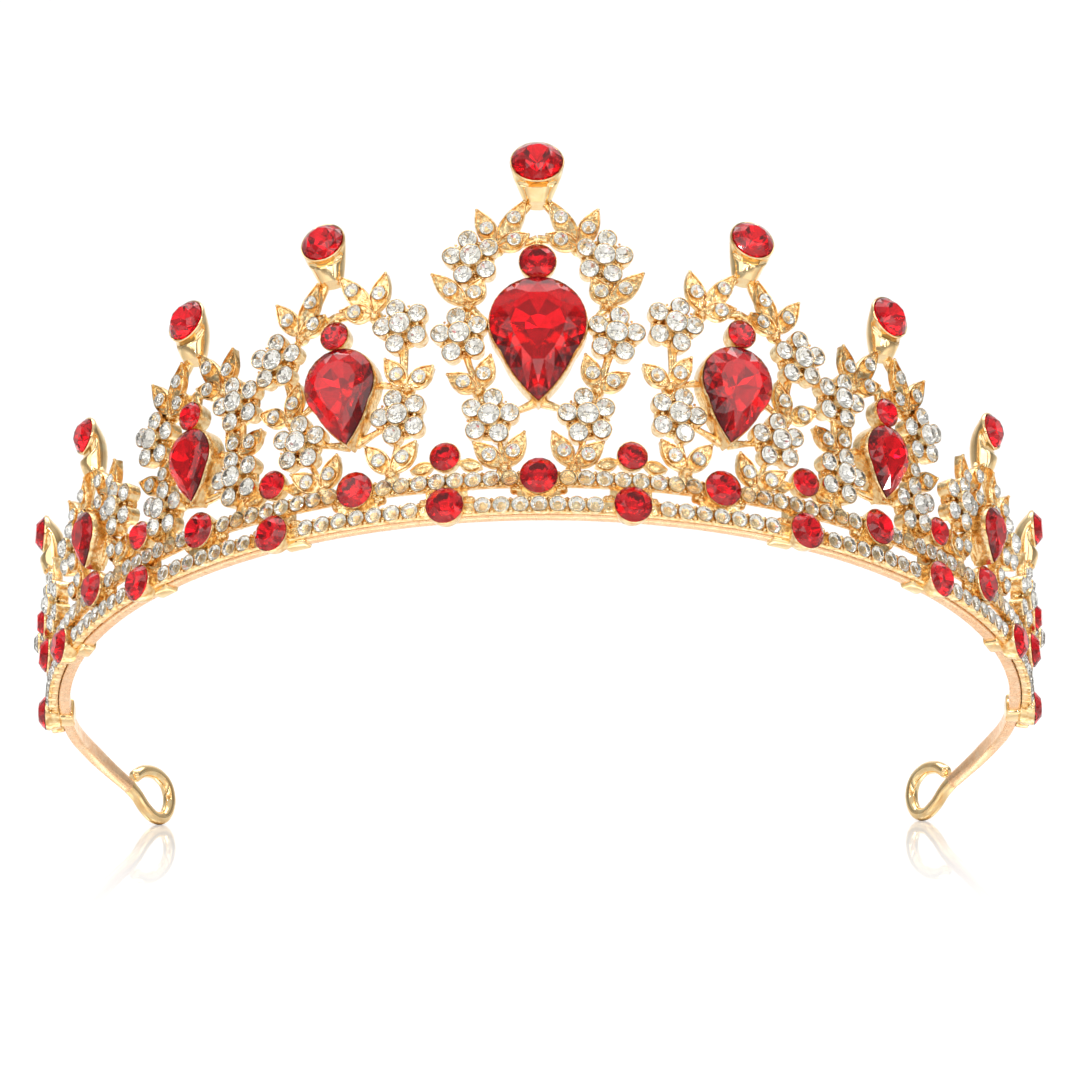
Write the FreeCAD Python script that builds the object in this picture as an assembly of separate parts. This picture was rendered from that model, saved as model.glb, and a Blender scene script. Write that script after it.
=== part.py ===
import FreeCAD, Part
import math
import os

# Tiara: a bent metal strip with curled ends carries two jewelled rails and nine openwork castings.
# Ring coordinates: angle from the front (positive to +X), radius from the ring's axis, height b above the strip.
# All lengths are in millimetres and all angles in degrees.

LIFT = 22.5

# Head strip and its curled ends
BAND_R_IN = 69.5
BAND_T = 1.7
BAND_H = 2.4
BAND_HALF_ARC = 94.0
TAIL_R = 36.0
TAIL_ARC = 30.0
WIRE_R = 0.95
LOOP_R = 4.0
LOOP_REACH = 5.7
LOOP_DROP = 2.2
LOOP_SWEEP = 298.0

# Rails
PITCH = 20.0
RAIL_BACK = BAND_R_IN + BAND_T
RAIL_DEPTH = 1.4
RAIL_H = 1.8
UPPER_B = 3.9
RAIL_TOP = 5.1
CUP_R = 2.7
CUP_DEPTH = 2.0
POST_R = 1.2
LOWER_COUNT = 7
LOWER_STEP = 2.55
UPPER_COUNT = 8
UPPER_STEP = 2.49
STRIP_DEPTH = 0.9

# Stones, by radius across the girdle
RAIL_RUBY_R = 2.5
SPACER_RUBY_R = 2.0
RAIL_STONE_R = 1.0
PETAL_STONE_R = 1.25
HEART_STONE_R = 1.45
LEAF_STONE_R = 0.95

# Clips and end collets
CLIP_W = 3.4
CLIP_T = 0.4
CLIP_EASE = 0.05
CLIP_SPOTS = [1.4, 2.4, 3.4, 4.5]
END_CUP_R = 1.45
END_CUP_H = 1.7

# Castings
CAST_BACK = 71.4
PLATE_T = 1.15
PETAL_RING = 2.75
PETAL_POST = 1.42
HEART_POST = 1.65
PETAL_H = 2.0
HEART_H = 2.9
LEAF_W = 2.9
LEAF_H = 1.6
STEM_R = 0.52
KNOT_R = 1.0
BEZEL_W = 0.55
PEAR_SEAT = 1.1
PEAR_BEZEL_H = 3.0
CREST_RUBY_H = 2.4

# One row per motif, from the front to the side. lean_out tips the casting outwards, fan turns it sideways.
# pear is width, length and height of the point; crest_b is the height of the shoulders under the finial.
MOTIFS = [
    dict(fan=0.0, lean_out=4.0, pear=(13.0, 18.0, 14.6), red=(2.5, 35.3), crest=(5.4, 38.0), finial=(3.5, 15.0),
         flowers=[(6.4, 12.8, 0), (10.2, 25.0, 20), (8.6, 36.4, 20)],
         forks=[(4.6, 5.6, 1.7, 10.6, 8.8, 9.2), (7.9, 17.0, 6.1, 22.0, 12.2, 19.4),
                (9.2, 29.6, 7.0, 33.4, 14.2, 34.4)]),
    dict(fan=6.0, lean_out=4.0, pear=(10.0, 14.0, 10.6), red=(2.0, 27.1), crest=(5.4, 29.3), finial=(3.0, 12.0),
         flowers=[(7.2, 13.2, 0), (9.1, 26.4, 0)],
         forks=[(4.9, 5.6, 1.9, 10.1, 9.2, 9.2), (8.6, 17.4, 6.1, 22.2, 12.8, 19.6)]),
    dict(fan=2.0, lean_out=4.0, pear=(7.5, 10.5, 8.2), red=(2.0, 21.2), crest=(5.0, 23.6), finial=(3.0, 8.0),
         flowers=[(6.8, 9.6, 0), (7.7, 20.6, 0)],
         forks=[(7.3, 13.2, 5.6, 17.2, 11.6, 15.6)]),
    dict(fan=1.0, lean_out=4.0, pear=(6.0, 8.0, 7.3), red=None, crest=(4.9, 15.4), finial=(2.5, 3.0),
         flowers=[(7.6, 13.4, 0)],
         forks=[(6.0, 5.6, 4.6, 10.4, 9.8, 8.6)]),
    dict(fan=0.0, lean_out=3.0, pear=None, red=(2.0, 9.1), crest=(4.2, 11.0), finial=(2.5, 0.0),
         flowers=[(7.0, 8.9, 0)],
         forks=[]),
]
SPACERS = [0.5, 1.5, 2.5]
SPACER_B = 7.3
SPACER_H = 1.8
FINIAL_STEM = 7.2
FINIAL_RISE = 5.2
FINIAL_DEPTH = 4.2
FINIAL_OUT = 2.2
NECK_R = 0.9

# Small shifts and turns tried in order when a boolean step meets edges that coincide
NUDGES = [(0.0, 0), (0.013, 25), (-0.017, -35), (0.029, 70), (-0.037, 110), (0.051, -75), (-0.063, 160),
          (0.083, 50)]

X = FreeCAD.Vector(1, 0, 0)
Z = FreeCAD.Vector(0, 0, 1)
TO_PANEL = FreeCAD.Rotation(X, 90)


def vec(x, y, z):
    return FreeCAD.Vector(x, y, z)


def on_ring(angle, radius, height, tip=0.0, turn=0.0):
    """Placement whose local x runs along the ring, y up and z outwards; tip raises y outwards, turn is clockwise."""
    a = math.radians(angle)
    point = vec(radius * math.sin(a), -radius * math.cos(a), height)
    spin = FreeCAD.Rotation(Z, angle).multiply(TO_PANEL)
    spin = spin.multiply(FreeCAD.Rotation(X, tip))
    spin = spin.multiply(FreeCAD.Rotation(Z, -turn))
    return FreeCAD.Placement(point, spin)


def placed(shape, placement):
    copy = shape.copy()
    copy.Placement = placement.multiply(copy.Placement)
    return copy


def on_motif(k, a, b, turn=0.0, lift=0.0):
    """Placement at a mm sideways and b mm up motif k, following the ring, the lean and the fan."""
    row = MOTIFS[abs(k)]
    side = -1.0 if k < 0 else 1.0
    fan = math.radians(row["fan"]) * side
    up = b - RAIL_TOP
    along = a * math.cos(fan) + up * math.sin(fan)
    height = RAIL_TOP + up * math.cos(fan) - a * math.sin(fan)
    lean = math.radians(row["lean_out"])
    radius = CAST_BACK + (height - RAIL_TOP) * math.tan(lean) + lift
    angle = k * PITCH + math.degrees(along / RAIL_BACK)
    return on_ring(angle, radius, height, row["lean_out"], side * row["fan"] + turn)


def post(radius, height, base=0.0):
    return Part.makeCylinder(radius, height - base, vec(0, 0, base))


def bar(p1, p2, radius):
    return Part.makeCylinder(radius, p2.sub(p1).Length, p1, p2.sub(p1))


def round_stone(radius, crown, pavilion):
    """A round stone about its girdle: a flat table, a crown and a pointed back."""
    rim = 0.12 * radius
    profile = [vec(0, 0, -pavilion), vec(radius, 0, -rim), vec(radius, 0, 0), vec(0.58 * radius, 0, crown),
               vec(0, 0, crown), vec(0, 0, -pavilion)]
    return Part.Face(Part.makePolygon(profile)).revolve(vec(0, 0, 0), Z, 360)


def small_stone(radius):
    return round_stone(radius, 0.42 * radius, 0.8 * radius)


def ruby(radius):
    return round_stone(radius, 0.5 * radius, 0.72 * radius)


def leaf_face(length, width):
    """Pointed leaf outline from the origin to (0, length)."""
    base = vec(0, 0, 0)
    tip = vec(0, length, 0)
    right = Part.Arc(base, vec(0.5 * width, 0.46 * length, 0), tip).toShape()
    left = Part.Arc(tip, vec(-0.5 * width, 0.46 * length, 0), base).toShape()
    return Part.Face(Part.Wire([right, left]))


def pear_outline(width, length, grow, count=28):
    """Pear outline with its point at the origin and its round end up, grown outwards by grow."""
    r = 0.5 * width
    centre = length - r
    half = math.acos(r / centre) * 0.86
    points = []
    for i in range(count + 1):
        t = -math.pi / 2 + half + (2 * math.pi - 2 * half) * i / count
        points.append((math.cos(t) * (r + grow), centre + math.sin(t) * (r + grow)))
    first = points[0]
    last = points[-1]
    tip = (0.0, -1.25 * grow)
    bulge = 0.1 * r
    down = [((last[0] + tip[0]) / 2 - bulge, (last[1] + tip[1]) / 2)]
    rise = [((first[0] + tip[0]) / 2 + bulge, (first[1] + tip[1]) / 2)]
    return points + down + [tip] + rise


def pear_prism(outline, low, high):
    wire = Part.makePolygon([vec(x, y, low) for x, y in outline + outline[:1]])
    return Part.Face(wire).extrude(vec(0, 0, high - low))


def scaled_outline(outline, centre, factor):
    return [(x * factor, centre + (y - centre) * factor) for x, y in outline]


def loft_rings(rings):
    """Closed solid through similar polygons, each given as its outline and height."""
    faces = []
    for (lower, z0), (upper, z1) in zip(rings[:-1], rings[1:]):
        n = len(lower)
        for i in range(n):
            j = (i + 1) % n
            quad = [vec(*lower[i], z0), vec(*lower[j], z0), vec(*upper[j], z1), vec(*upper[i], z1)]
            faces.append(Part.Face(Part.makePolygon(quad + quad[:1])))
    for outline, z in (rings[0], rings[-1]):
        faces.append(Part.Face(Part.makePolygon([vec(x, y, z) for x, y in outline + outline[:1]])))
    solid = Part.Solid(Part.Shell(faces))
    if solid.Volume < 0:
        solid.reverse()
    return solid


def pear_stone(width, length):
    outline = pear_outline(width, length, 0.0)
    centre = 0.6 * length
    depth = 0.22 * width
    rings = [(scaled_outline(outline, centre, 0.12), -depth), (scaled_outline(outline, centre, 0.7), -0.45 * depth),
             (outline, -0.05 * width), (outline, 0.0), (scaled_outline(outline, centre, 0.78), 0.085 * width),
             (scaled_outline(outline, centre, 0.5), 0.14 * width)]
    return loft_rings(rings)


def motif_flowers(k):
    """Sideways position, height and phase of each flower on both sides of motif k."""
    spots = []
    for a, b, phase in MOTIFS[abs(k)]["flowers"]:
        spots.append((a, b, 100 - phase))
        spots.append((-a, b, 80 + phase))
    return spots


def petal_places(k, a, b, phase):
    """Placement of each petal of a flower; the flower is flat, so all share its axis."""
    hub = on_motif(k, a, b)
    return [hub.multiply(FreeCAD.Placement(vec(x, y, 0), FreeCAD.Rotation())) for x, y in petal_spots(0, 0, phase)]


def petal_spots(a, b, phase):
    spots = []
    for i in range(5):
        t = math.radians(phase + 72 * i)
        spots.append((a + PETAL_RING * math.cos(t), b + PETAL_RING * math.sin(t)))
    return spots


def motif_leaves(k):
    """Base, tip and stone share of each leaf on motif k, both sides."""
    row = MOTIFS[abs(k)]
    leaves = []
    for a, b, a1, b1, a2, b2 in row["forks"]:
        leaves.append((a, b, a1, b1, 0.44))
        leaves.append((a, b, a2, b2, 0.48))
    a, b = row["crest"]
    leaves.append((a, b, 1.3, b + 6.7, 0.62))
    leaves.append((a, b, a + 2.7, b + 5.6, 0.48))
    leaves.append((a, b, 0.8, b + 1.5, 0.55))
    return leaves + [(-a1, b1, -a2, b2, s) for a1, b1, a2, b2, s in leaves]


def leaf_turn(a1, b1, a2, b2):
    return math.degrees(math.atan2(a2 - a1, b2 - b1))


def leaf_backs(k):
    """Height of each leaf's back; leaves that share a fork lie at slightly different heights."""
    count = len(motif_leaves(k)) // 2
    return [0.14 + 0.033 * (i % count) for i in range(2 * count)]


def leaf_stone_places(k):
    """Placement of the back of each leaf's stone cup."""
    places = []
    for (a1, b1, a2, b2, share), back in zip(motif_leaves(k), leaf_backs(k)):
        base = on_motif(k, a1, b1, leaf_turn(a1, b1, a2, b2))
        reach = share * math.hypot(a2 - a1, b2 - b1)
        places.append(base.multiply(FreeCAD.Placement(vec(0, reach, back), FreeCAD.Rotation())))
    return places


def stem(k, start, end, radius):
    """Round bar that joins two points of motif k, a little above its back."""
    p1 = on_motif(k, *start).multVec(vec(0, 0, 0.3))
    p2 = on_motif(k, *end).multVec(vec(0, 0, 0.3))
    return bar(p1, p2, radius)


def motif_stems(k):
    """Joined points of motif k on its +a side: feet, forks, flowers, pear setting and crest."""
    row = MOTIFS[abs(k)]
    flowers = row["flowers"]
    forks = row["forks"]
    a, b = row["crest"]
    lines = [((a, b), (flowers[-1][0] - 1.2, flowers[-1][1])), ((a, b), (1.0, b + 6.9)), ((a, b), (0.0, b + 1.4))]
    for fork in forks:
        near = min(flowers, key=lambda f: abs(f[1] - fork[1] - 3.0))
        lines.append(((fork[0], fork[1]), (near[0], near[1])))
    for low, high in zip(flowers[:-1], flowers[1:]):
        lines.append(((low[0], low[1]), (high[0], high[1])))
    if row["pear"]:
        width, length, tip = row["pear"]
        lines.append(((forks[-1][0], forks[-1][1]), (0.42 * width, tip + 0.62 * length)))
        lines.append(((flowers[0][0], flowers[0][1]), (0.5, tip + 0.5)))
    if row["red"]:
        lines.append(((0.0, b + 1.4), (0.0, row["red"][1])))
    return lines


def motif_feet(k):
    """Sideways positions where motif k stands on the upper rail."""
    row = MOTIFS[abs(k)]
    if row["forks"] and row["forks"][0][1] < 7.0:
        return [row["forks"][0][0]]
    return [row["flowers"][0][0]]


def flower_body(phase):
    """Flower casting about its own axis: a disc, five petal cups and a taller middle cup."""
    body = post(PETAL_RING, PLATE_T - 0.3, 0.1).fuse(post(HEART_POST, HEART_H))
    for pa, pb in petal_spots(0, 0, phase):
        cup = post(PETAL_POST, PETAL_H)
        cup.translate(vec(pa, pb, 0))
        body = body.fuse(cup)
    body = body.cut(seat(HEART_STONE_R, HEART_H, 1.3))
    for pa, pb in petal_spots(0, 0, phase):
        recess = seat(PETAL_STONE_R, PETAL_H, 1.15)
        recess.translate(vec(pa, pb, 0))
        body = body.cut(recess)
    return body


def leaf_body(length, share):
    """Leaf casting that points along y from the origin, with one stone cup."""
    plate = leaf_face(length, LEAF_W).extrude(vec(0, 0, PLATE_T))
    cup = post(LEAF_STONE_R + 0.22, LEAF_H, 0.2)
    cup.translate(vec(0, length * share, 0))
    return plate.fuse(cup)


def leaf_parts(k, a1, b1, a2, b2, share, back):
    length = math.hypot(a2 - a1, b2 - b1)
    leaf = leaf_body(length, share)
    leaf.translate(vec(0, 0, back))
    return [placed(leaf, on_motif(k, a1, b1, leaf_turn(a1, b1, a2, b2)))]


def motif_solid_parts(k):
    row = MOTIFS[abs(k)]
    parts = []
    for a, b, phase in motif_flowers(k):
        parts.append(placed(flower_body(phase), on_motif(k, a, b)))
    for leaf, back in zip(motif_leaves(k), leaf_backs(k)):
        parts += leaf_parts(k, *leaf, back)
    knots = [(fork[0], fork[1]) for fork in row["forks"]] + [row["crest"]]
    for a, b in knots:
        parts.append(placed(post(KNOT_R, PLATE_T + 0.3, 0.05), on_motif(k, a, b)))
        parts.append(placed(post(KNOT_R, PLATE_T + 0.3, 0.05), on_motif(k, -a, b)))
    for i, (start, end) in enumerate(motif_stems(k)):
        radius = STEM_R - 0.009 * i
        parts.append(stem(k, start, end, radius))
        if start[0] or end[0]:
            parts.append(stem(k, (-start[0], start[1]), (-end[0], end[1]), radius))
    for foot in motif_feet(k):
        for a in (foot, -foot):
            angle = k * PITCH + math.degrees(a / RAIL_BACK)
            block = Part.makeBox(2.4, 2.4, PLATE_T - 0.2, vec(-1.2, -0.4, 0.17))
            parts.append(placed(block, on_ring(angle, CAST_BACK, RAIL_TOP)))
    if row["pear"]:
        width, length, tip = row["pear"]
        outer = pear_prism(pear_outline(width, length, BEZEL_W), -0.1, PEAR_BEZEL_H)
        parts.append(placed(outer, on_motif(k, 0.0, tip)))
    if row["red"]:
        parts.append(placed(post(row["red"][0] + 0.3, CREST_RUBY_H, -0.05), on_motif(k, 0.0, row["red"][1])))
    return parts


def seat(radius, height, depth):
    return Part.makeCylinder(radius, depth + 2.0, vec(0, 0, height - depth))


def motif_seats(k):
    """Recesses of motif k, each with the least volume that it takes out."""
    row = MOTIFS[abs(k)]
    seats = []
    for spot in leaf_stone_places(k):
        seats.append((placed(seat(LEAF_STONE_R, LEAF_H, 0.9), spot), 1.2))
    if row["pear"]:
        width, length, tip = row["pear"]
        ledge = pear_prism(pear_outline(width, length, 0.0), PEAR_BEZEL_H - PEAR_SEAT, PEAR_BEZEL_H + 2.0)
        through = pear_prism(pear_outline(width, length, -0.7), -1.5, PEAR_BEZEL_H)
        seats.append((placed(ledge, on_motif(k, 0.0, tip)), 10.0))
        seats.append((placed(through, on_motif(k, 0.0, tip)), 10.0))
    if row["red"]:
        radius = row["red"][0]
        seats.append((placed(seat(radius, CREST_RUBY_H, 0.8 * radius), on_motif(k, 0.0, row["red"][1])), 5.0))
    below = Part.makeBox(80, 80, 10, vec(-40, -110, RAIL_TOP - 10))
    below.rotate(vec(0, 0, 0), Z, k * PITCH)
    seats.append((below, 0.0))
    return seats


def motif_casting(k):
    parts = motif_solid_parts(k)
    body = parts[0]
    for part in parts[1:]:
        body = joined(body, part)
    for recess, least in motif_seats(k):
        body = relieved(body, recess, least)
    return one_solid(body)


def nudged(shape, shift, turn):
    """Copy of shape moved a few hundredths and turned about its middle, out from the ring."""
    moved = shape.copy()
    middle = shape.BoundBox.Center
    if turn and len(shape.Faces) < 4:
        moved.rotate(middle, vec(middle.x, middle.y, 0), turn)
    moved.translate(vec(shift, shift * 0.7, shift * 0.6))
    return moved


def joined(body, part):
    """Fuses part into body; a part whose faces meet the body's edge to edge is nudged."""
    most = body.Volume + part.Volume + 0.01
    for shift, turn in NUDGES:
        whole = body.fuse(nudged(part, shift, 0))
        if whole.isValid() and body.Volume - 0.01 < whole.Volume < most:
            return whole
    print("not joined", part.BoundBox.Center)
    return body


def relieved(body, tool, least):
    """Cuts tool out of body, which takes away at least that volume; a cut that fails is nudged."""
    lowest = body.Volume - tool.Volume - 0.01
    for shift, turn in NUDGES:
        rest = body.cut(nudged(tool, 0.5 * shift, turn))
        if rest.isValid() and lowest < rest.Volume < body.Volume - least + 0.01:
            return rest
    print("not cut", tool.BoundBox.Center)
    return body


def one_solid(shape):
    solids = sorted(shape.Solids, key=lambda s: s.Volume)
    if len(solids) != 1:
        print("solids", [round(s.Volume, 2) for s in solids])
    return solids[-1]


def flower_stones(k):
    stones = []
    for a, b, phase in motif_flowers(k):
        stones.append(placed(small_stone(HEART_STONE_R), on_motif(k, a, b).multiply(up_by(HEART_H))))
        for spot in petal_places(k, a, b, phase):
            stones.append(placed(small_stone(PETAL_STONE_R), spot.multiply(up_by(PETAL_H))))
    return stones


def leaf_stones(k):
    return [placed(small_stone(LEAF_STONE_R), spot.multiply(up_by(LEAF_H))) for spot in leaf_stone_places(k)]


def up_by(height):
    return FreeCAD.Placement(vec(0, 0, height), FreeCAD.Rotation())


def finial_stone_place(k):
    radius, tilt = MOTIFS[abs(k)]["finial"]
    row = MOTIFS[abs(k)]
    spot = on_motif(k, 0.0, row["crest"][1] + FINIAL_STEM + FINIAL_RISE)
    centre = spot.multVec(vec(0, 0, FINIAL_OUT))
    spin = FreeCAD.Rotation(Z, k * PITCH).multiply(TO_PANEL).multiply(FreeCAD.Rotation(X, -tilt))
    return FreeCAD.Placement(centre, spin)


def finial_cup(k):
    """Tapered cup that narrows back and down to the foot on the casting's apex."""
    radius, tilt = MOTIFS[abs(k)]["finial"]
    place = finial_stone_place(k)
    rim = radius + 0.35
    cup = placed(Part.makeCone(0.55 * rim, rim, FINIAL_DEPTH - 0.6, vec(0, 0, -FINIAL_DEPTH + 0.4)), place)
    foot = on_motif(k, 0.0, MOTIFS[abs(k)]["crest"][1] + FINIAL_STEM)
    p1 = foot.multVec(vec(0, 0, PLATE_T + 0.5))
    p2 = place.multVec(vec(0, -0.2 * rim, -0.55 * FINIAL_DEPTH))
    neck = Part.makeCone(NECK_R, 0.62 * rim, p2.sub(p1).Length, p1, p2.sub(p1))
    body = cup.fuse(neck)
    bore = placed(seat(radius, 0.0, 0.85 * radius), place)
    return one_solid(body.cut(bore))


def rail_angles(count, step, middle):
    """Angles of the small stones between two large ones, around the angle middle."""
    turn = math.degrees(step / (RAIL_BACK + RAIL_DEPTH))
    return [middle + (i - 0.5 * (count - 1)) * turn for i in range(count)]


def lower_ruby_angles():
    return [(i - 4.5) * PITCH for i in range(10)]


def upper_ruby_angles():
    return [(i - 4) * PITCH for i in range(9)]


def lower_stone_angles():
    angles = []
    for i in range(9):
        angles += rail_angles(LOWER_COUNT, LOWER_STEP, (i - 4) * PITCH)
    return angles


def upper_stone_angles():
    angles = []
    for i in range(8):
        angles += rail_angles(UPPER_COUNT, UPPER_STEP, (i - 3.5) * PITCH)
    turn = math.degrees(UPPER_STEP / (RAIL_BACK + RAIL_DEPTH))
    first = math.degrees((CUP_R + 1.25) / (RAIL_BACK + RAIL_DEPTH))
    for i in range(3):
        angles.append(4 * PITCH + first + i * turn)
        angles.append(-4 * PITCH - first - i * turn)
    return angles


def arc_strip(r_in, r_out, low, high, start, end):
    face = Part.Face(Part.makePolygon([vec(r_in, 0, low), vec(r_out, 0, low), vec(r_out, 0, high),
                                       vec(r_in, 0, high), vec(r_in, 0, low)]))
    face.rotate(vec(0, 0, 0), Z, start - 90)
    return face.revolve(vec(0, 0, 0), Z, end - start)


def rail(height, half_arc, stone_angles, ruby_angles):
    low = height - 0.5 * RAIL_H
    strip = arc_strip(RAIL_BACK, RAIL_BACK + STRIP_DEPTH, low, low + RAIL_H, -half_arc, half_arc)
    parts = []
    seats = []
    for angle in stone_angles:
        place = on_ring(angle, RAIL_BACK, height)
        parts.append(placed(post(POST_R, RAIL_DEPTH, 0.3), place))
        seats.append(placed(seat(RAIL_STONE_R, RAIL_DEPTH, 0.85), place))
    for angle in ruby_angles:
        place = on_ring(angle, RAIL_BACK, height)
        parts.append(placed(post(CUP_R, CUP_DEPTH, 0.3), place))
        seats.append(placed(seat(RAIL_RUBY_R, CUP_DEPTH, 1.5), place))
    return one_solid(strip.fuse(parts).cut(seats))


def rail_small_stones(height, angles):
    return [placed(small_stone(RAIL_STONE_R), on_ring(t, RAIL_BACK + RAIL_DEPTH, height)) for t in angles]


def rail_rubies(height, angles):
    return [placed(ruby(RAIL_RUBY_R), on_ring(t, RAIL_BACK + CUP_DEPTH, height)) for t in angles]


def spacer_angles():
    return [s * k * PITCH for k in SPACERS for s in (-1, 1)]


def spacer_cup(angle):
    cup = post(SPACER_RUBY_R + 0.2, SPACER_H).cut(seat(SPACER_RUBY_R, SPACER_H, 1.5))
    return placed(cup, on_ring(angle, CAST_BACK, SPACER_B))


def tail_frame(side):
    """Point and heading at the end of the strip's tail on one side."""
    a = math.radians(BAND_HALF_ARC)
    mid = BAND_R_IN + 0.5 * BAND_T
    hub = vec((mid - TAIL_R) * math.sin(a), -(mid - TAIL_R) * math.cos(a), 0)
    b = math.radians(BAND_HALF_ARC + TAIL_ARC)
    end = hub.add(vec(TAIL_R * math.sin(b), -TAIL_R * math.cos(b), 0))
    heading = vec(math.cos(b), math.sin(b), 0)
    if side < 0:
        end.x = -end.x
        heading.x = -heading.x
    return end, heading


def tail_strip():
    """Tighter arc that continues the strip on the +X side."""
    a = math.radians(BAND_HALF_ARC)
    mid = BAND_R_IN + 0.5 * BAND_T
    hub = vec((mid - TAIL_R) * math.sin(a), -(mid - TAIL_R) * math.cos(a), 0)
    strip = arc_strip(TAIL_R - 0.5 * BAND_T, TAIL_R + 0.5 * BAND_T, -0.5 * BAND_H, 0.5 * BAND_H,
                      BAND_HALF_ARC, BAND_HALF_ARC + TAIL_ARC)
    strip.translate(hub)
    return strip


def curled_end():
    """Drawn wire that turns down from the +X tail and curls back up to it."""
    end, heading = tail_frame(1)
    lay = FreeCAD.Placement(end, FreeCAD.Rotation(heading, Z, heading.cross(Z), "XYZ"))
    dist = math.hypot(LOOP_REACH, LOOP_DROP)
    dive = -math.atan2(LOOP_DROP, LOOP_REACH) - math.asin(LOOP_R / dist)
    run = math.sqrt(dist * dist - LOOP_R * LOOP_R)
    touch = vec(run * math.cos(dive), run * math.sin(dive), 0)
    straight = bar(vec(0, 0, 0), touch, WIRE_R)
    start = math.degrees(dive) - 90
    ring = Part.makeTorus(LOOP_R, WIRE_R, vec(0, 0, 0), Z, 0, 360, LOOP_SWEEP)
    ring.rotate(vec(0, 0, 0), Z, start)
    ring.translate(vec(LOOP_REACH, -LOOP_DROP, 0))
    knuckle = Part.makeSphere(1.25, vec(0, 0, 0))
    nose = Part.makeSphere(WIRE_R, vec(*ring_point(start + LOOP_SWEEP), 0))
    return placed(straight.fuse([ring, knuckle, nose]), lay)


def ring_point(angle):
    t = math.radians(angle)
    return LOOP_REACH + LOOP_R * math.cos(t), -LOOP_DROP + LOOP_R * math.sin(t)


def mirrored(shape):
    return shape.mirror(vec(0, 0, 0), X)


def headband():
    strip = arc_strip(BAND_R_IN, RAIL_BACK, -0.5 * BAND_H, 0.5 * BAND_H, -BAND_HALF_ARC, BAND_HALF_ARC)
    tail = tail_strip().fuse(curled_end())
    return one_solid(strip.fuse([tail, mirrored(tail)]).removeSplitter())


def band_clip(angle):
    """Folded tab that wraps the strip from the rail's back."""
    back = -BAND_T - CLIP_EASE
    low = -0.5 * BAND_H
    outer = Part.makeBox(CLIP_W, BAND_H + 2 * CLIP_T, CLIP_T - back, vec(-0.5 * CLIP_W, low - CLIP_T, back - CLIP_T))
    inner = Part.makeBox(CLIP_W + 1, BAND_H, 1 - back, vec(-0.5 * CLIP_W - 0.5, low, back))
    return placed(outer.cut(inner), on_ring(angle, RAIL_BACK, 0.0))


def end_collet(angle):
    cup = post(END_CUP_R, END_CUP_H).cut(seat(PETAL_STONE_R, END_CUP_H, 1.15))
    return placed(cup, on_ring(angle, RAIL_BACK, 0.0))


def attitude(shape):
    """Raises the front of the ring to the way the tiara is worn."""
    copy = shape.copy()
    copy.rotate(vec(0, 0, 0), X, -LIFT)
    return copy


def write(node, shapes):
    group = shapes if isinstance(shapes, list) else [shapes]
    turned = [attitude(s) for s in group]
    whole = turned[0] if len(turned) == 1 else Part.makeCompound(turned)
    whole.exportStep("parts/" + node + ".step")


def pear_piece(k):
    width, length, tip = MOTIFS[abs(k)]["pear"]
    return placed(pear_stone(width, length), on_motif(k, 0.0, tip).multiply(up_by(PEAR_BEZEL_H)))


def crest_ruby(k):
    radius, b = MOTIFS[abs(k)]["red"]
    return placed(ruby(radius), on_motif(k, 0.0, b).multiply(up_by(CREST_RUBY_H)))


def sides(k):
    return [-k, k] if k else [0]


def pair(make, k):
    return [make(s) for s in sides(k)]


def main():
    os.makedirs("parts", exist_ok=True)
    names = ["center", "first_pair", "second_pair", "third_pair", "fourth_pair"]
    write("headband", headband())
    end_angle = 4.5 * PITCH + math.degrees((CUP_R + END_CUP_R + 0.1) / (RAIL_BACK + 1.0))
    lower = rail(0.0, 4.5 * PITCH, lower_stone_angles(), lower_ruby_angles())
    upper = rail(UPPER_B, 4.5 * PITCH - 3.0, upper_stone_angles(), upper_ruby_angles())
    write("lower_rail", lower)
    write("upper_rail", upper)
    write("lower_rail_stones", rail_small_stones(0.0, lower_stone_angles()))
    write("upper_rail_stones", rail_small_stones(UPPER_B, upper_stone_angles()))
    write("lower_rail_rubies", rail_rubies(0.0, lower_ruby_angles()))
    write("upper_rail_rubies", rail_rubies(UPPER_B, upper_ruby_angles()))
    for k, name in enumerate(names):
        casting = motif_casting(k)
        if k:
            write("motif_right_" + str(k), casting)
            write("motif_left_" + str(k), mirrored(casting))
        else:
            write("motif_center", casting)
        flowers = flower_stones(k)
        leaves = leaf_stones(k)
        if k:
            flowers += [mirrored(s) for s in flowers]
            leaves += [mirrored(s) for s in leaves]
        write("flower_stones_" + name, flowers)
        write("leaf_stones_" + name, leaves)
        write("finial_cup_" + name, pair(finial_cup, k))
        radius, tilt = MOTIFS[k]["finial"]
        write("finial_ruby_" + name, [placed(ruby(radius), finial_stone_place(s)) for s in sides(k)])
        if MOTIFS[k]["pear"]:
            write("pear_ruby_" + name, pair(pear_piece, k))
        if MOTIFS[k]["red"]:
            write("round_ruby_" + name, pair(crest_ruby, k))
    write("spacer_cups", [spacer_cup(t) for t in spacer_angles()])
    spacer_place = [on_ring(t, CAST_BACK + SPACER_H, SPACER_B) for t in spacer_angles()]
    write("spacer_rubies", [placed(ruby(SPACER_RUBY_R), p) for p in spacer_place])
    clip_angles = [s * k * PITCH for k in CLIP_SPOTS for s in (-1, 1)]
    write("band_clips", [band_clip(t) for t in clip_angles])
    write("end_collets", [end_collet(t) for t in (-end_angle, end_angle)])
    end_place = [on_ring(t, RAIL_BACK + END_CUP_H, 0.0) for t in (-end_angle, end_angle)]
    write("end_stones", [placed(small_stone(PETAL_STONE_R), p) for p in end_place])


main()
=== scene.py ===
import math
import random

import bpy
from mathutils import Matrix, Vector, noise


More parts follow.
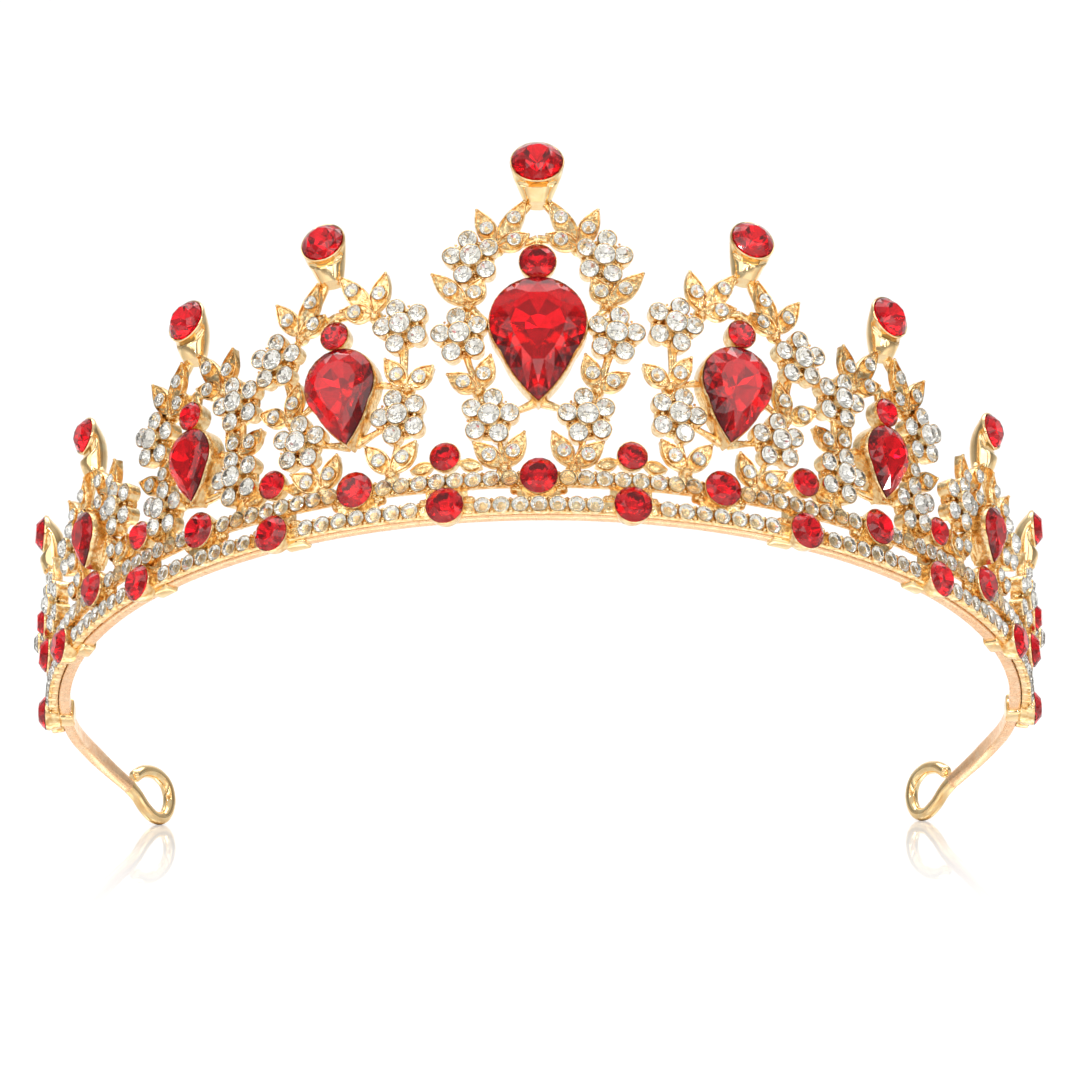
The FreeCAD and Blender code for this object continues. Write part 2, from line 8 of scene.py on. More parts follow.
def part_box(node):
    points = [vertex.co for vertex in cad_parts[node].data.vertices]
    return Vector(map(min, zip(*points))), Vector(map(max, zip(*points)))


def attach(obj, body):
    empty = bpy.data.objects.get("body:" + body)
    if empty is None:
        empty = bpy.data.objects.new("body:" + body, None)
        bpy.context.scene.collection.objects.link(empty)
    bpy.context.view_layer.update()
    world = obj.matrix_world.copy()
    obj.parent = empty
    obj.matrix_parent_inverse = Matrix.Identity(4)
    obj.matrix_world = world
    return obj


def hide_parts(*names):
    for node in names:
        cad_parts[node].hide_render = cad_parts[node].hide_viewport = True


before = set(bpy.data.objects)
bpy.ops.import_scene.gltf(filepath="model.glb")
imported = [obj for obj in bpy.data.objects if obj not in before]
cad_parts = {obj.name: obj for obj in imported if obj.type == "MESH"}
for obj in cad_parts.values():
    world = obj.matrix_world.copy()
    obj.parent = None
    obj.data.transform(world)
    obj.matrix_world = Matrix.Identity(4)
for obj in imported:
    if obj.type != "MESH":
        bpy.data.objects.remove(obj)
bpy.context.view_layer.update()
# The noise would start from the clock without a seed
noise.seed_set(7)

# Lengths are in millimetres and angles in degrees, as in the CAD source; meshes are made in metres.
# A place on the ring is an angle from the front, a radius, and a height above the lower rail's middle.
MM = 0.001
LIFT = 22.5
PITCH = 20.0

# Head strip with its tails, the eyes at their ends, and the clips
BAND_MID = 70.35
BAND_T = 1.7
BAND_H = 2.4
BAND_HALF_ARC = 94.0
BAND_STEPS = 94
BAND_SIDES = 20
TAIL_R = 36.0
TAIL_ARC = 33.0
TAIL_STEPS = 24
TAIL_SINK = 2.2
# The tail's steps that start its sinking and its drawing to wire, and how far it is drawn at its end
SINK_FROM = 8
DRAWN_FROM = 14
TAIL_DRAWN = 0.7
WIRE_R = 1.0
# The eye's curve from the end of the strip: along the strip, then up
CURL = [(0.0, 0.0), (1.9, -1.0), (3.9, -2.5), (6.2, -3.3), (8.4, -2.4), (9.4, 0.2), (8.5, 2.8), (6.0, 3.9),
        (3.1, 3.3), (0.9, 1.6)]
CURL_STEPS = 7
CLIP_W = 3.4
# In pitches from the front
CLIP_SPOTS = [1.4, 2.4, 3.4, 4.5]

# Rails, the cups in them, and the cups that stand on them
RAIL_BACK = 71.2
RAIL_DEPTH = 1.4
RAIL_H = 1.8
STRIP_DEPTH = 0.9
UPPER_HEIGHT = 3.9
RAIL_TOP = 5.1
CUP_R = 2.7
CUP_DEPTH = 2.0
LOWER_COUNT = 7
LOWER_STEP = 2.55
UPPER_COUNT = 8
UPPER_STEP = 2.49
BEYOND_COUNT = 3
BEYOND_GAP = 1.25
END_CUP_R = 1.45
END_CUP_DEPTH = 1.7
SPACER_HEIGHT = 7.3
SPACER_DEPTH = 1.8
SPACERS = [0.5, 1.5, 2.5]

# Stones, by the radius of the girdle
RAIL_RUBY_R = 2.5
SPACER_RUBY_R = 2.0
RAIL_STONE_R = 1.12
PETAL_STONE_R = 1.25
HEART_STONE_R = 1.45
LEAF_STONE_R = 0.95
PEAR_FOLD = 12

# Castings
CAST_BACK = 71.4
CAST_WOBBLE = 0.035
RAIL_WOBBLE = 0.03
PLATE_T = 1.15
PETALS = 5
PETAL_STEP = 360 / PETALS
PETAL_RING = 2.75
PETAL_H = 2.0
HEART_H = 2.9
LEAF_W = 2.9
LEAF_H = 1.6
LEAF_BACK = 0.14
LEAF_BACK_STEP = 0.033
STEM_R = 0.52
STEM_STEPS = 8
PEAR_BEZEL_H = 3.0
CREST_RUBY_H = 2.4
FINIAL_STEM = 7.2
FINIAL_RISE = 5.2
FINIAL_OUT = 2.2

# One row for the centre casting and one for each pair. Places are across from the casting's middle line and
# up from the lower rail.
#   fan and lean_out: the angles by which it fans sideways and leans outward
#   pear: width, length and height of the tip; red: radius and height of the round stone above
#   crest: where the crest leaves spring; finial: radius of the stone and its upward tilt
#   flowers: place and phase of each; forks: base, near tip and far tip of each forked pair of leaves
MOTIFS = [
    dict(fan=0.0, lean_out=4.0, pear=(13.0, 18.0, 14.6), red=(2.5, 35.3), crest=(5.4, 38.0),
         finial=(3.5, 15.0),
         flowers=[(6.4, 12.8, 0), (10.2, 25.0, 20), (8.6, 36.4, 20)],
         forks=[(4.6, 5.6, 1.7, 10.6, 8.8, 9.2), (7.9, 17.0, 6.1, 22.0, 12.2, 19.4),
                (9.2, 29.6, 7.0, 33.4, 14.2, 34.4)]),
    dict(fan=6.0, lean_out=4.0, pear=(10.0, 14.0, 10.6), red=(2.0, 27.1), crest=(5.4, 29.3),
         finial=(3.0, 12.0),
         flowers=[(7.2, 13.2, 0), (9.1, 26.4, 0)],
         forks=[(4.9, 5.6, 1.9, 10.1, 9.2, 9.2), (8.6, 17.4, 6.1, 22.2, 12.8, 19.6)]),
    dict(fan=2.0, lean_out=4.0, pear=(7.5, 10.5, 8.2), red=(2.0, 21.2), crest=(5.0, 23.6), finial=(3.0, 8.0),
         flowers=[(6.8, 9.6, 0), (7.7, 20.6, 0)],
         forks=[(7.3, 13.2, 5.6, 17.2, 11.6, 15.6)]),
    dict(fan=1.0, lean_out=4.0, pear=(6.0, 8.0, 7.3), red=None, crest=(4.9, 15.4), finial=(2.5, 3.0),
         flowers=[(7.6, 13.4, 0)],
         forks=[(6.0, 5.6, 4.6, 10.4, 9.8, 8.6)]),
    dict(fan=0.0, lean_out=3.0, pear=None, red=(2.0, 9.1), crest=(4.2, 11.0), finial=(2.5, 0.0),
         flowers=[(7.0, 8.9, 0)],
         forks=[]),
]
PAIR_NAMES = ["center", "first_pair", "second_pair", "third_pair", "fourth_pair"]
ATTITUDE = Matrix.Rotation(math.radians(-LIFT), 4, "X")
MIRROR = Matrix.Scale(-1, 4, (1, 0, 0))
ORIGIN = Vector((0, 0, 0))
UP = Vector((0, 0, 1))


# ---------------- materials

def material(name, **inputs):
    mat = bpy.data.materials.new(name)
    mat.use_nodes = True
    shader = mat.node_tree.nodes["Principled BSDF"]
    for key, value in inputs.items():
        shader.inputs[key.replace("_", " ")].default_value = value
    return mat, mat.node_tree, shader


def node(tree, kind, **settings):
    """Shader node; each setting is an input's value or a property."""
    made = tree.nodes.new(kind)
    for key, value in settings.items():
        if key in made.inputs:
            made.inputs[key].default_value = value
        else:
            setattr(made, key, value)
    return made


def texture(tree, kind, size, **settings):
    """Texture node over the object's own coordinates, with features of about size millimetres."""
    made = node(tree, kind, Scale=1 / (size * MM), **settings)
    where = tree.nodes.new("ShaderNodeTexCoord").outputs["Object"]
    tree.links.new(where, made.inputs["Vector"])
    return made


def ramp(tree, source, stops):
    made = tree.nodes.new("ShaderNodeValToRGB")
    elements = made.color_ramp.elements
    while len(elements) < len(stops):
        elements.new(0.5)
    for element, (position, colour) in zip(elements, stops):
        element.position = position
        element.color = (*colour, 1.0)
    tree.links.new(source, made.inputs["Fac"])
    return made.outputs["Color"]


def grey(value):
    return (value, value, value)


def metal(name, pale, deep, painted_seam_shade, rough, grain, grain_size, pit_size):
    """Plated metal: colour and polish drift slowly; a fine cast grain is in the bump, with painted shade in
    the seams between the grains.
    """
    mat, tree, shader = material(name, Metallic=1.0, Roughness=rough)
    drift = texture(tree, "ShaderNodeTexNoise", 3.2, Detail=3.0)
    polish = texture(tree, "ShaderNodeTexNoise", 1.1, Detail=4.0)
    pebbles = texture(tree, "ShaderNodeTexVoronoi", grain_size, feature="SMOOTH_F1")
    pits = texture(tree, "ShaderNodeTexNoise", pit_size, Detail=2.0)

    # Colour: the plate's two tones, with painted shade (the seam colour) in the crevices between the grains
    blend = node(tree, "ShaderNodeMix", data_type="RGBA")
    shade = ramp(tree, pebbles.outputs["Distance"], [(0.3, grey(0.0)), (0.75, grey(1.0))])
    tree.links.new(shade, blend.inputs[0])
    tree.links.new(ramp(tree, drift.outputs["Fac"], [(0.3, deep), (0.65, pale)]), blend.inputs[6])
    # Painted shade: the seam colour darkens the crevices between the grains as if they were in shadow
    blend.inputs[7].default_value = (*painted_seam_shade, 1.0)
    tree.links.new(blend.outputs[2], shader.inputs["Base Color"])

    span = ramp(tree, polish.outputs["Fac"], [(0.3, grey(0.6 * rough)), (0.7, grey(1.5 * rough))])
    tree.links.new(span, shader.inputs["Roughness"])

    # Relief: grains with half as much of the fine pits
    relief = node(tree, "ShaderNodeMath", operation="MULTIPLY_ADD")
    tree.links.new(pits.outputs["Fac"], relief.inputs[0])
    relief.inputs[1].default_value = 0.5
    tree.links.new(pebbles.outputs["Distance"], relief.inputs[2])
    bump = node(tree, "ShaderNodeBump", Strength=grain, Distance=0.09 * MM, invert=True)
    tree.links.new(relief.outputs["Value"], bump.inputs["Height"])
    tree.links.new(bump.outputs["Normal"], shader.inputs["Normal"])
    return mat


def cut_glass(name, colour, deep, ior, gloss):
    """Crown of a stone: clear coloured glass, a little uneven in depth of colour."""
    mat, tree, shader = material(name, Roughness=0.012, IOR=ior, Transmission_Weight=1.0,
                                 Specular_IOR_Level=gloss)
    cloud = texture(tree, "ShaderNodeTexNoise", 2.4, Detail=2.0)
    tone = ramp(tree, cloud.outputs["Fac"], [(0.35, deep), (0.65, colour)])
    tree.links.new(tone, shader.inputs["Base Color"])
    return mat


def foil(name, bright, dull):
    """Mirror foil on the back of a stone; seen only through the glass."""
    mat, tree, shader = material(name, Metallic=0.85, Roughness=0.08)
    cloud = texture(tree, "ShaderNodeTexNoise", 0.9, Detail=1.0)
    tone = ramp(tree, cloud.outputs["Fac"], [(0.4, dull), (0.6, bright)])
    tree.links.new(tone, shader.inputs["Base Color"])
    return mat


# Each metal's seam colour is painted shade for the crevices between its grains
GOLD = metal("cast gold", pale=(1.0, 0.82, 0.49), deep=(0.98, 0.68, 0.32), painted_seam_shade=(0.74, 0.40, 0.13),
             rough=0.17, grain=0.6, grain_size=0.5, pit_size=0.16)
SMOOTH_GOLD = metal("polished gold", pale=(1.0, 0.80, 0.46), deep=(0.96, 0.66, 0.32), painted_seam_shade=(0.95, 0.64, 0.3),
                    rough=0.1, grain=0.05, grain_size=0.9, pit_size=0.3)
ROSE = metal("rose gold", pale=(1.0, 0.70, 0.44), deep=(0.97, 0.60, 0.34), painted_seam_shade=(0.95, 0.56, 0.3),
             rough=0.26, grain=0.06, grain_size=0.7, pit_size=0.22)
CRYSTAL = cut_glass("crystal glass", colour=(1.0, 1.0, 0.99), deep=(0.97, 0.96, 0.94), ior=1.58, gloss=0.5)
SILVER_FOIL = foil("silver foil", bright=(1.0, 0.99, 0.96), dull=(0.90, 0.87, 0.80))
RUBY = cut_glass("ruby glass", colour=(0.89, 0.006, 0.032), deep=(0.78, 0.002, 0.018), ior=1.55, gloss=0.22)
DEEP_RUBY = cut_glass("deep ruby glass", colour=(0.79, 0.003, 0.02), deep=(0.64, 0.001, 0.01), ior=1.55,
                      gloss=0.22)
RUBY_FOIL = foil("ruby foil", bright=(0.98, 0.5, 0.5), dull=(0.88, 0.32, 0.32))


# ---------------- places

def on_ring(angle, radius, height, tip=0.0, turn=0.0):
    """Frame on the ring: Z outward, Y up, leaned outward by tip and turned clockwise seen from outside."""
    swing = math.radians(angle)
    spot = Matrix.Translation((radius * math.sin(swing), -radius * math.cos(swing), height))
    spin = Matrix.Rotation(swing, 4, "Z") @ Matrix.Rotation(math.radians(90 + tip), 4, "X")
    return spot @ spin @ Matrix.Rotation(math.radians(-turn), 4, "Z")


def on_motif(pair, across, up, turn=0.0):
    """Frame at a place on the centre casting or on the right-hand casting of a pair."""
    row = MOTIFS[pair]
    fan = math.radians(row["fan"])
    rise = up - RAIL_TOP
    along = across * math.cos(fan) + rise * math.sin(fan)
    height = RAIL_TOP + rise * math.cos(fan) - across * math.sin(fan)
    radius = CAST_BACK + (height - RAIL_TOP) * math.tan(math.radians(row["lean_out"]))
    angle = pair * PITCH + math.degrees(along / RAIL_BACK)
    return on_ring(angle, radius, height, row["lean_out"], row["fan"] + turn)


def shift(x, y, z):
    return Matrix.Translation((x, y, z))


def both_sides(pair):
    """Placement and flip of each casting of a pair."""
    right = (Matrix.Identity(4), False)
    return [right] if pair == 0 else [right, (MIRROR, True)]


def petal_spots(phase):
    """Middles of a flower's petals, the first at the angle phase."""
    angles = [math.radians(phase + PETAL_STEP * i) for i in range(PETALS)]
    return [(PETAL_RING * math.cos(angle), PETAL_RING * math.sin(angle)) for angle in angles]


def motif_flowers(pair):
    """Place and phase of each flower of a casting, on both halves."""
    spots = []
    for across, up, phase in MOTIFS[pair]["flowers"]:
        spots.append((across, up, 100 - phase))
        spots.append((-across, up, 80 + phase))
    return spots


def motif_leaves(pair):
    """Base and tip of each leaf, its stone's place as a share of its length, and the height of its back."""
    row = MOTIFS[pair]
    leaves = []
    for across, up, near_across, near_up, far_across, far_up in row["forks"]:
        leaves.append(((across, up), (near_across, near_up), 0.44))
        leaves.append(((across, up), (far_across, far_up), 0.48))
    across, up = row["crest"]
    leaves.append(((across, up), (1.3, up + 6.7), 0.62))
    leaves.append(((across, up), (across + 2.7, up + 5.6), 0.48))
    leaves.append(((across, up), (0.8, up + 1.5), 0.55))
    found = []
    for i, (base, tip, share) in enumerate(leaves):
        # Backs at different heights, so that leaves that cross share no face
        back = LEAF_BACK + LEAF_BACK_STEP * i
        for side in (1, -1):
            found.append(((side * base[0], base[1]), (side * tip[0], tip[1]), share, back))
    return found


def leaf_length(base, tip):
    return math.hypot(tip[0] - base[0], tip[1] - base[1])


def leaf_place(pair, base, tip, back):
    turn = math.degrees(math.atan2(tip[0] - base[0], tip[1] - base[1]))
    return on_motif(pair, *base, turn) @ shift(0, 0, back)


def motif_stems(pair):
    """Start and end of each stem on the right-hand half of a casting."""
    row = MOTIFS[pair]
    flowers = [(across, up) for across, up, phase in row["flowers"]]
    forks = [(fork[0], fork[1]) for fork in row["forks"]]
    crest = row["crest"]
    arch = (0.0, crest[1] + 1.4)
    lines = [(crest, (flowers[-1][0] - 1.2, flowers[-1][1])), (crest, (1.0, crest[1] + 6.9)), (crest, arch)]
    for fork in forks:
        near = min(flowers, key=lambda flower: abs(flower[1] - fork[1] - 3.0))
        lines.append((fork, near))
    lines += zip(flowers[:-1], flowers[1:])
    if row["pear"]:
        width, length, tip = row["pear"]
        lines.append((forks[-1], (0.42 * width, tip + 0.62 * length)))
        lines.append((flowers[0], (0.5, tip + 0.5)))
    if row["red"]:
        lines.append((arch, (0.0, row["red"][1])))
    return lines


def foot_across(pair):
    """Where a casting's foot is: under its lowest fork, or under its first flower if no fork is low."""
    row = MOTIFS[pair]
    lowest = 7.0
    if row["forks"] and row["forks"][0][1] < lowest:
        return row["forks"][0][0]
    return row["flowers"][0][0]


def rail_angles(count, step, middle):
    turn = math.degrees(step / (RAIL_BACK + RAIL_DEPTH))
    return [middle + (i - 0.5 * (count - 1)) * turn for i in range(count)]


LOWER_RUBIES = [(i - 4.5) * PITCH for i in range(10)]
UPPER_RUBIES = [(i - 4) * PITCH for i in range(9)]
LOWER_STONES = [angle for i in range(9) for angle in rail_angles(LOWER_COUNT, LOWER_STEP, (i - 4) * PITCH)]
UPPER_STONES = [angle for i in range(8) for angle in rail_angles(UPPER_COUNT, UPPER_STEP, (i - 3.5) * PITCH)]
for step in range(BEYOND_COUNT):
    beyond = 4 * PITCH + math.degrees((CUP_R + BEYOND_GAP + step * UPPER_STEP) / (RAIL_BACK + RAIL_DEPTH))
    UPPER_STONES += [beyond, -beyond]
SPACER_ANGLES = [side * spot * PITCH for spot in SPACERS for side in (-1, 1)]
END_ANGLE = 4.5 * PITCH + math.degrees((CUP_R + END_CUP_R + 0.1) / (RAIL_BACK + 1.0))


# ---------------- mesh building

class Piece:
    """Collects closed shells in ring millimetres and makes one object, for the CAD node of its name."""

    def __init__(self, name, slot, materials, crease=35.0):
        self.name = name
        self.slot = slot
        self.materials = materials
        self.crease = crease
        self.verts = []
        self.faces = []
        self.looks = []

    def add(self, shell, place=None, looks=0, flip=False):
        """Adds a shell; looks is the material number of all its faces or a list with one for each."""
        verts, faces = shell
        start = len(self.verts)
        for vert in verts:
            point = Vector(vert)
            self.verts.append(point if place is None else place @ point)
        for i, face in enumerate(faces):
            ids = [start + j for j in face]
            self.faces.append(ids[::-1] if flip else ids)
            self.looks.append(looks[i] if isinstance(looks, list) else looks)

    def make(self, wobble=0.0, mirror=False):
        mesh = bpy.data.meshes.new(self.name)
        points = []
        for point in self.verts:
            if wobble:
                point = point + wobble * Vector(noise.noise_vector(point * 1.3))
            if mirror:
                point = Vector((-point.x, point.y, point.z))
            points.append(MM * (ATTITUDE @ point))
        faces = [face[::-1] for face in self.faces] if mirror else self.faces
        mesh.from_pydata(points, [], faces)
        for mat in self.materials:
            mesh.materials.append(mat)
        mesh.polygons.foreach_set("material_index", self.looks)
        mesh.update()
        mesh.validate()
        if self.crease:
            mesh.polygons.foreach_set("use_smooth", [True] * len(mesh.polygons))
            mesh.set_sharp_from_angle(angle=math.radians(self.crease))
        made = bpy.data.objects.new(self.name, mesh)
        bpy.context.scene.collection.objects.link(made)
        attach(made, "root")
        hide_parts(self.name)


def joined_rings(rings):
    """Closed shell through rings of equal point counts, with a cap at each end."""
    count = len(rings[0])
    verts = [point for ring in rings for point in ring]
    top = (len(rings) - 1) * count
    faces = []
    for low in range(0, top, count):
        for i in range(count):
            after = (i + 1) % count
            faces.append([low + i, low + after, low + count + after, low + count + i])
    faces.append(list(range(count))[::-1])
    faces.append([top + i for i in range(count)])
    return verts, faces


def circle(radius, z, count):
    turns = [2 * math.pi * i / count for i in range(count)]
    return [(radius * math.cos(turn), radius * math.sin(turn), z) for turn in turns]


def lathe(profile, count):
    """Turned shell from a profile of (radius, height), closed by flat caps."""
    return joined_rings([circle(radius, z, count) for radius, z in profile])


def collet(outer, seat, height, depth, low=0.0, count=22):
    """Stone cup: a turned wall with a rolled lip and a recess for the stone's back."""
    lip = outer - seat
    profile = [(0.86 * outer, low), (0.93 * outer, low + 0.25 * (height - low)),
               (outer - 0.1 * lip, height - 0.5), (outer + 0.05 * lip, height - 0.22), (outer, height - 0.02),
               (outer - 0.3 * lip, height + 0.07), (outer - 0.75 * lip, height + 0.05),
               (seat - 0.02, height - 0.1), (0.9 * seat, height - 0.35), (0.3 * seat, height - depth)]
    return lathe(profile, count)


def ball(radius, count=8, rings=5):
    loops = []
    for i in range(rings):
        polar = math.pi * (i + 0.5) / rings
        loops.append(circle(radius * math.sin(polar), -radius * math.cos(polar), count))
    return joined_rings(loops)


def granule(radius):
    return ball(radius, 7, 4)


def dome(radius, height, base, count):
    """Rounded boss."""
    steps = 5
    profile = [(radius, base)]
    for i in range(steps):
        polar = 0.5 * math.pi * (i + 1) / (steps + 0.6)
        profile.append((radius * math.cos(polar), base + (height - base) * math.sin(polar)))
    return lathe(profile, count)


def tube(points, sections, ups, count=12):
    """Shell that follows points.

    A section is half its width, half its height along up, and a power: 1 for an ellipse and less for squarer.
    """
    rings = []
    last = len(points) - 1
    for i, point in enumerate(points):
        ahead = (points[min(i + 1, last)] - points[max(i - 1, 0)]).normalized()
        up = (ups[i] - ups[i].dot(ahead) * ahead).normalized()
        side = ahead.cross(up)
        wide, tall, power = sections[i]
        ring = []
        for j in range(count):
            turn = 2 * math.pi * (j + 0.5) / count
            cos = math.cos(turn)
            sin = math.sin(turn)
            across = math.copysign(abs(cos) ** power, cos) * wide
            along = math.copysign(abs(sin) ** power, sin) * tall
            ring.append(tuple(point + side * across + up * along))
        rings.append(ring)
    return joined_rings(rings)


def leaf_half(width, share):
    """Half the width of a leaf at a share of its length."""
    return 0.5 * width * max(0.06, math.sin(math.pi * share ** 0.92)) ** 0.8


def leaf_rise(share):
    """How far a leaf's turned-up tip has risen at a share of its length."""
    return 0.9 * max(0.0, share - 0.62) ** 1.5


def leaf_shell(length, width):
    """Pointed leaf with a raised rim, a sunken bed with a vein and a turned-up tip."""
    stations = 15
    rings = []
    for i in range(stations):
        share = 0.015 + 0.97 * i / (stations - 1)
        half = leaf_half(width, share)
        rim = min(0.3, 0.45 * half)
        top = PLATE_T + 0.22 + leaf_rise(share)
        bed = PLATE_T - 0.12 + leaf_rise(share)
        low = 0.05 + 0.5 * max(0.0, share - 0.7)
        vein = bed + 0.1 * (1 - abs(2 * share - 1))
        right = [(0.6 * half, low), (half, low + 0.3), (half, top - 0.14), (half - 0.3 * rim, top),
                 (half - 0.75 * rim, top - 0.01), (half - 1.15 * rim, bed + 0.02), (0.25 * half, bed)]
        left = [(-x, z) for x, z in right[::-1]]
        rings.append([(x, length * share, z) for x, z in right + [(0.0, vein)] + left])
    return joined_rings(rings)


# ---------------- stones

def stone_faces(fold, deep):
    """Faces of a cut stone, and the look of each: 0 for the crown and 1 for the foiled back.

    The points are the rings table, kite, girdle, under, main and, in a deep stone, core, then the culet.
    Girdle and under have twice fold points each, the others fold.
    """
    table, kite, girdle, under, main, core = 0, fold, 2 * fold, 4 * fold, 6 * fold, 7 * fold
    culet = 8 * fold if deep else 7 * fold
    faces = [[table + i for i in range(fold)]]
    looks = [0]
    for i in range(fold):
        after = (i + 1) % fold
        first = 2 * i
        middle = first + 1
        last = (first + 2) % (2 * fold)
        crown = [[kite + after, table + after, table + i],
                 [table + i, kite + i, girdle + middle, kite + after],
                 [kite + i, girdle + first, girdle + middle],
                 [kite + after, girdle + middle, girdle + last],
                 [under + first, under + middle, girdle + middle, girdle + first],
                 [under + middle, under + last, girdle + last, girdle + middle]]
        back = [[under + middle, under + first, main + i],
                [under + last, under + middle, main + i]]
        if deep:
            back += [[under + last, main + i, main + after],
                     [main + i, core + i, core + after],
                     [main + i, core + after, main + after],
                     [core + i, culet, core + after]]
        else:
            back.append([under + last, main + i, culet, main + after])
        faces += crown + back
        looks += [0] * len(crown) + [1] * len(back)
    return faces, looks


def brilliant(radius, crown, pavilion, turn):
    """Round cut stone with table, star, kite and girdle facets over a foiled back."""
    def ring(count, ring_radius, z, start):
        turns = [math.radians(turn + start + 360.0 * i / count) for i in range(count)]
        return [(ring_radius * math.cos(t), ring_radius * math.sin(t), z) for t in turns]
    table = ring(8, 0.56 * radius, crown, 22.5)
    kite = ring(8, 0.8 * radius, 0.56 * crown, 0.0)
    girdle = ring(16, radius, 0.05 * radius, 0.0)
    under = ring(16, 0.985 * radius, -0.05 * radius, 0.0)
    main = ring(8, 0.42 * radius, -0.62 * pavilion, 22.5)
    faces, looks = stone_faces(8, deep=False)
    return (table + kite + girdle + under + main + [(0.0, 0.0, -pavilion)], faces), looks


def small_cut(radius, turn):
    return brilliant(radius, 0.42 * radius, 0.8 * radius, turn)


def ruby_cut(radius, turn):
    return brilliant(radius, 0.44 * radius, 0.62 * radius, turn)


def flank(start, end, bulge):
    """Points between the two ends of a side that bows by bulge."""
    steps = 24
    points = []
    for i in range(1, steps):
        share = i / steps
        arch = 4 * share * (1 - share) * bulge
        points.append((start[0] + (end[0] - start[0]) * share + arch, start[1] + (end[1] - start[1]) * share))
    return points


def pear_outline(width, length, grow, count):
    """Points evenly spread round a pear from its tip, near the origin; grow widens it on all sides."""
    radius = 0.5 * width
    centre = length - radius
    half = math.acos(radius / centre) * 0.86
    steps = 96
    fine = []
    for i in range(steps + 1):
        turn = -math.pi / 2 + half + (2 * math.pi - 2 * half) * i / steps
        fine.append((math.cos(turn) * (radius + grow), centre + math.sin(turn) * (radius + grow)))
    tip = (0.0, -1.25 * grow)
    bulge = 0.1 * radius
    fine += flank(fine[-1], tip, -bulge) + [tip] + flank(tip, fine[0], bulge)
    lengths = [0.0]
    for near, far in zip(fine, fine[1:] + fine[:1]):
        lengths.append(lengths[-1] + math.hypot(far[0] - near[0], far[1] - near[1]))
    start = lengths[fine.index(tip)]
    spots = []
    for i in range(count):
        want = (start + lengths[-1] * i / count) % lengths[-1]
        before = max(n for n in range(len(fine)) if lengths[n] <= want)
        near = fine[before]
        far = fine[(before + 1) % len(fine)]
        share = (want - lengths[before]) / max(1e-6, lengths[before + 1] - lengths[before])
        spots.append((near[0] + (far[0] - near[0]) * share, near[1] + (far[1] - near[1]) * share))
    return spots


def scaled(outline, centre, factor):
    return [(x * factor, centre + (y - centre) * factor) for x, y in outline]


def pear_cut(width, length):
    """Pear cut stone with table, star, kite and girdle facets over a foiled back."""
    centre = 0.6 * length
    whole = pear_outline(width, length, 0.0, 2 * PEAR_FOLD)
    even = whole[0::2]
    odd = whole[1::2]
    verts = []
    # Table, kite, girdle, under, main and core: outline, its scale, and height as a share of the width
    for outline, factor, height in ((odd, 0.6, 0.15), (even, 0.82, 0.095), (whole, 1.0, 0.012),
                                    (whole, 0.985, -0.012), (odd, 0.58, -0.1), (even, 0.27, -0.145)):
        verts += [(x, y, height * width) for x, y in scaled(outline, centre, factor)]
    verts.append((0.0, centre, -0.17 * width))
    faces, looks = stone_faces(PEAR_FOLD, deep=True)
    return (verts, faces), looks


# ---------------- castings

def bezier(start, end, sag, steps):
    """Points from start to end that bow by sag."""
    mid = (start + end) / 2 + sag
    shares = [i / steps for i in range(steps + 1)]
    return [(1 - t) ** 2 * start + 2 * t * (1 - t) * mid + t * t * end for t in shares]


def add_stem(piece, pair, start, end, rng):
    """Wire between two places on a casting, with granules on it."""
    foot = on_motif(pair, *start)
    near = foot @ Vector((0, 0, 0.45))
    far = on_motif(pair, *end) @ Vector((0, 0, 0.45))
    out = (foot @ UP - foot @ ORIGIN).normalized()
    across = (far - near).cross(out).normalized()
    bow = rng.uniform(-0.12, 0.12) * (far - near).length
    line = bezier(near, far, across * bow, STEM_STEPS)
    sections = []
    for i in range(STEM_STEPS + 1):
        swell = 1.0 + 0.22 * math.cos(2 * math.pi * i / STEM_STEPS)
        sections.append((STEM_R * 1.05 * swell, STEM_R * 0.95 * swell, 0.85))
    piece.add(tube(line, sections, [out] * len(line)))
    for point in line[1:-1]:
        if rng.random() < 0.75:
            side = across * rng.uniform(-0.22, 0.22)
            piece.add(granule(rng.uniform(0.13, 0.2)), Matrix.Translation(point + out * 0.5 + side))


def add_flower(piece, pair, across, up, phase, rng):
    """Plate with a collet for the heart and for each petal, and beads between the petals."""
    hub = on_motif(pair, across, up)
    plate = [(PETAL_RING - 0.1, 0.1), (PETAL_RING + 0.3, 0.3), (PETAL_RING + 0.25, 0.75),
             (PETAL_RING - 0.3, 1.0), (1.2, 1.1)]
    piece.add(lathe(plate, 24), hub)
    piece.add(collet(HEART_STONE_R + 0.17, HEART_STONE_R, HEART_H, 1.2, 0.6, 24), hub)
    for i, (x, y) in enumerate(petal_spots(phase)):
        piece.add(collet(PETAL_STONE_R + 0.16, PETAL_STONE_R, PETAL_H, 1.1), hub @ shift(x, y, 0))
        turn = math.radians(phase + PETAL_STEP * (i + 0.5))
        for reach, height, size in ((2.25, PETAL_H - 0.1, 0.26), (3.05, PETAL_H - 0.45, 0.2)):
            spot = shift(reach * math.cos(turn), reach * math.sin(turn), height)
            piece.add(ball(size * rng.uniform(0.9, 1.1)), hub @ spot)
        web = shift(2.5 * math.cos(turn), 2.5 * math.sin(turn), 0)
        piece.add(dome(0.5, PETAL_H - 0.5, 0.2, 8), hub @ web)


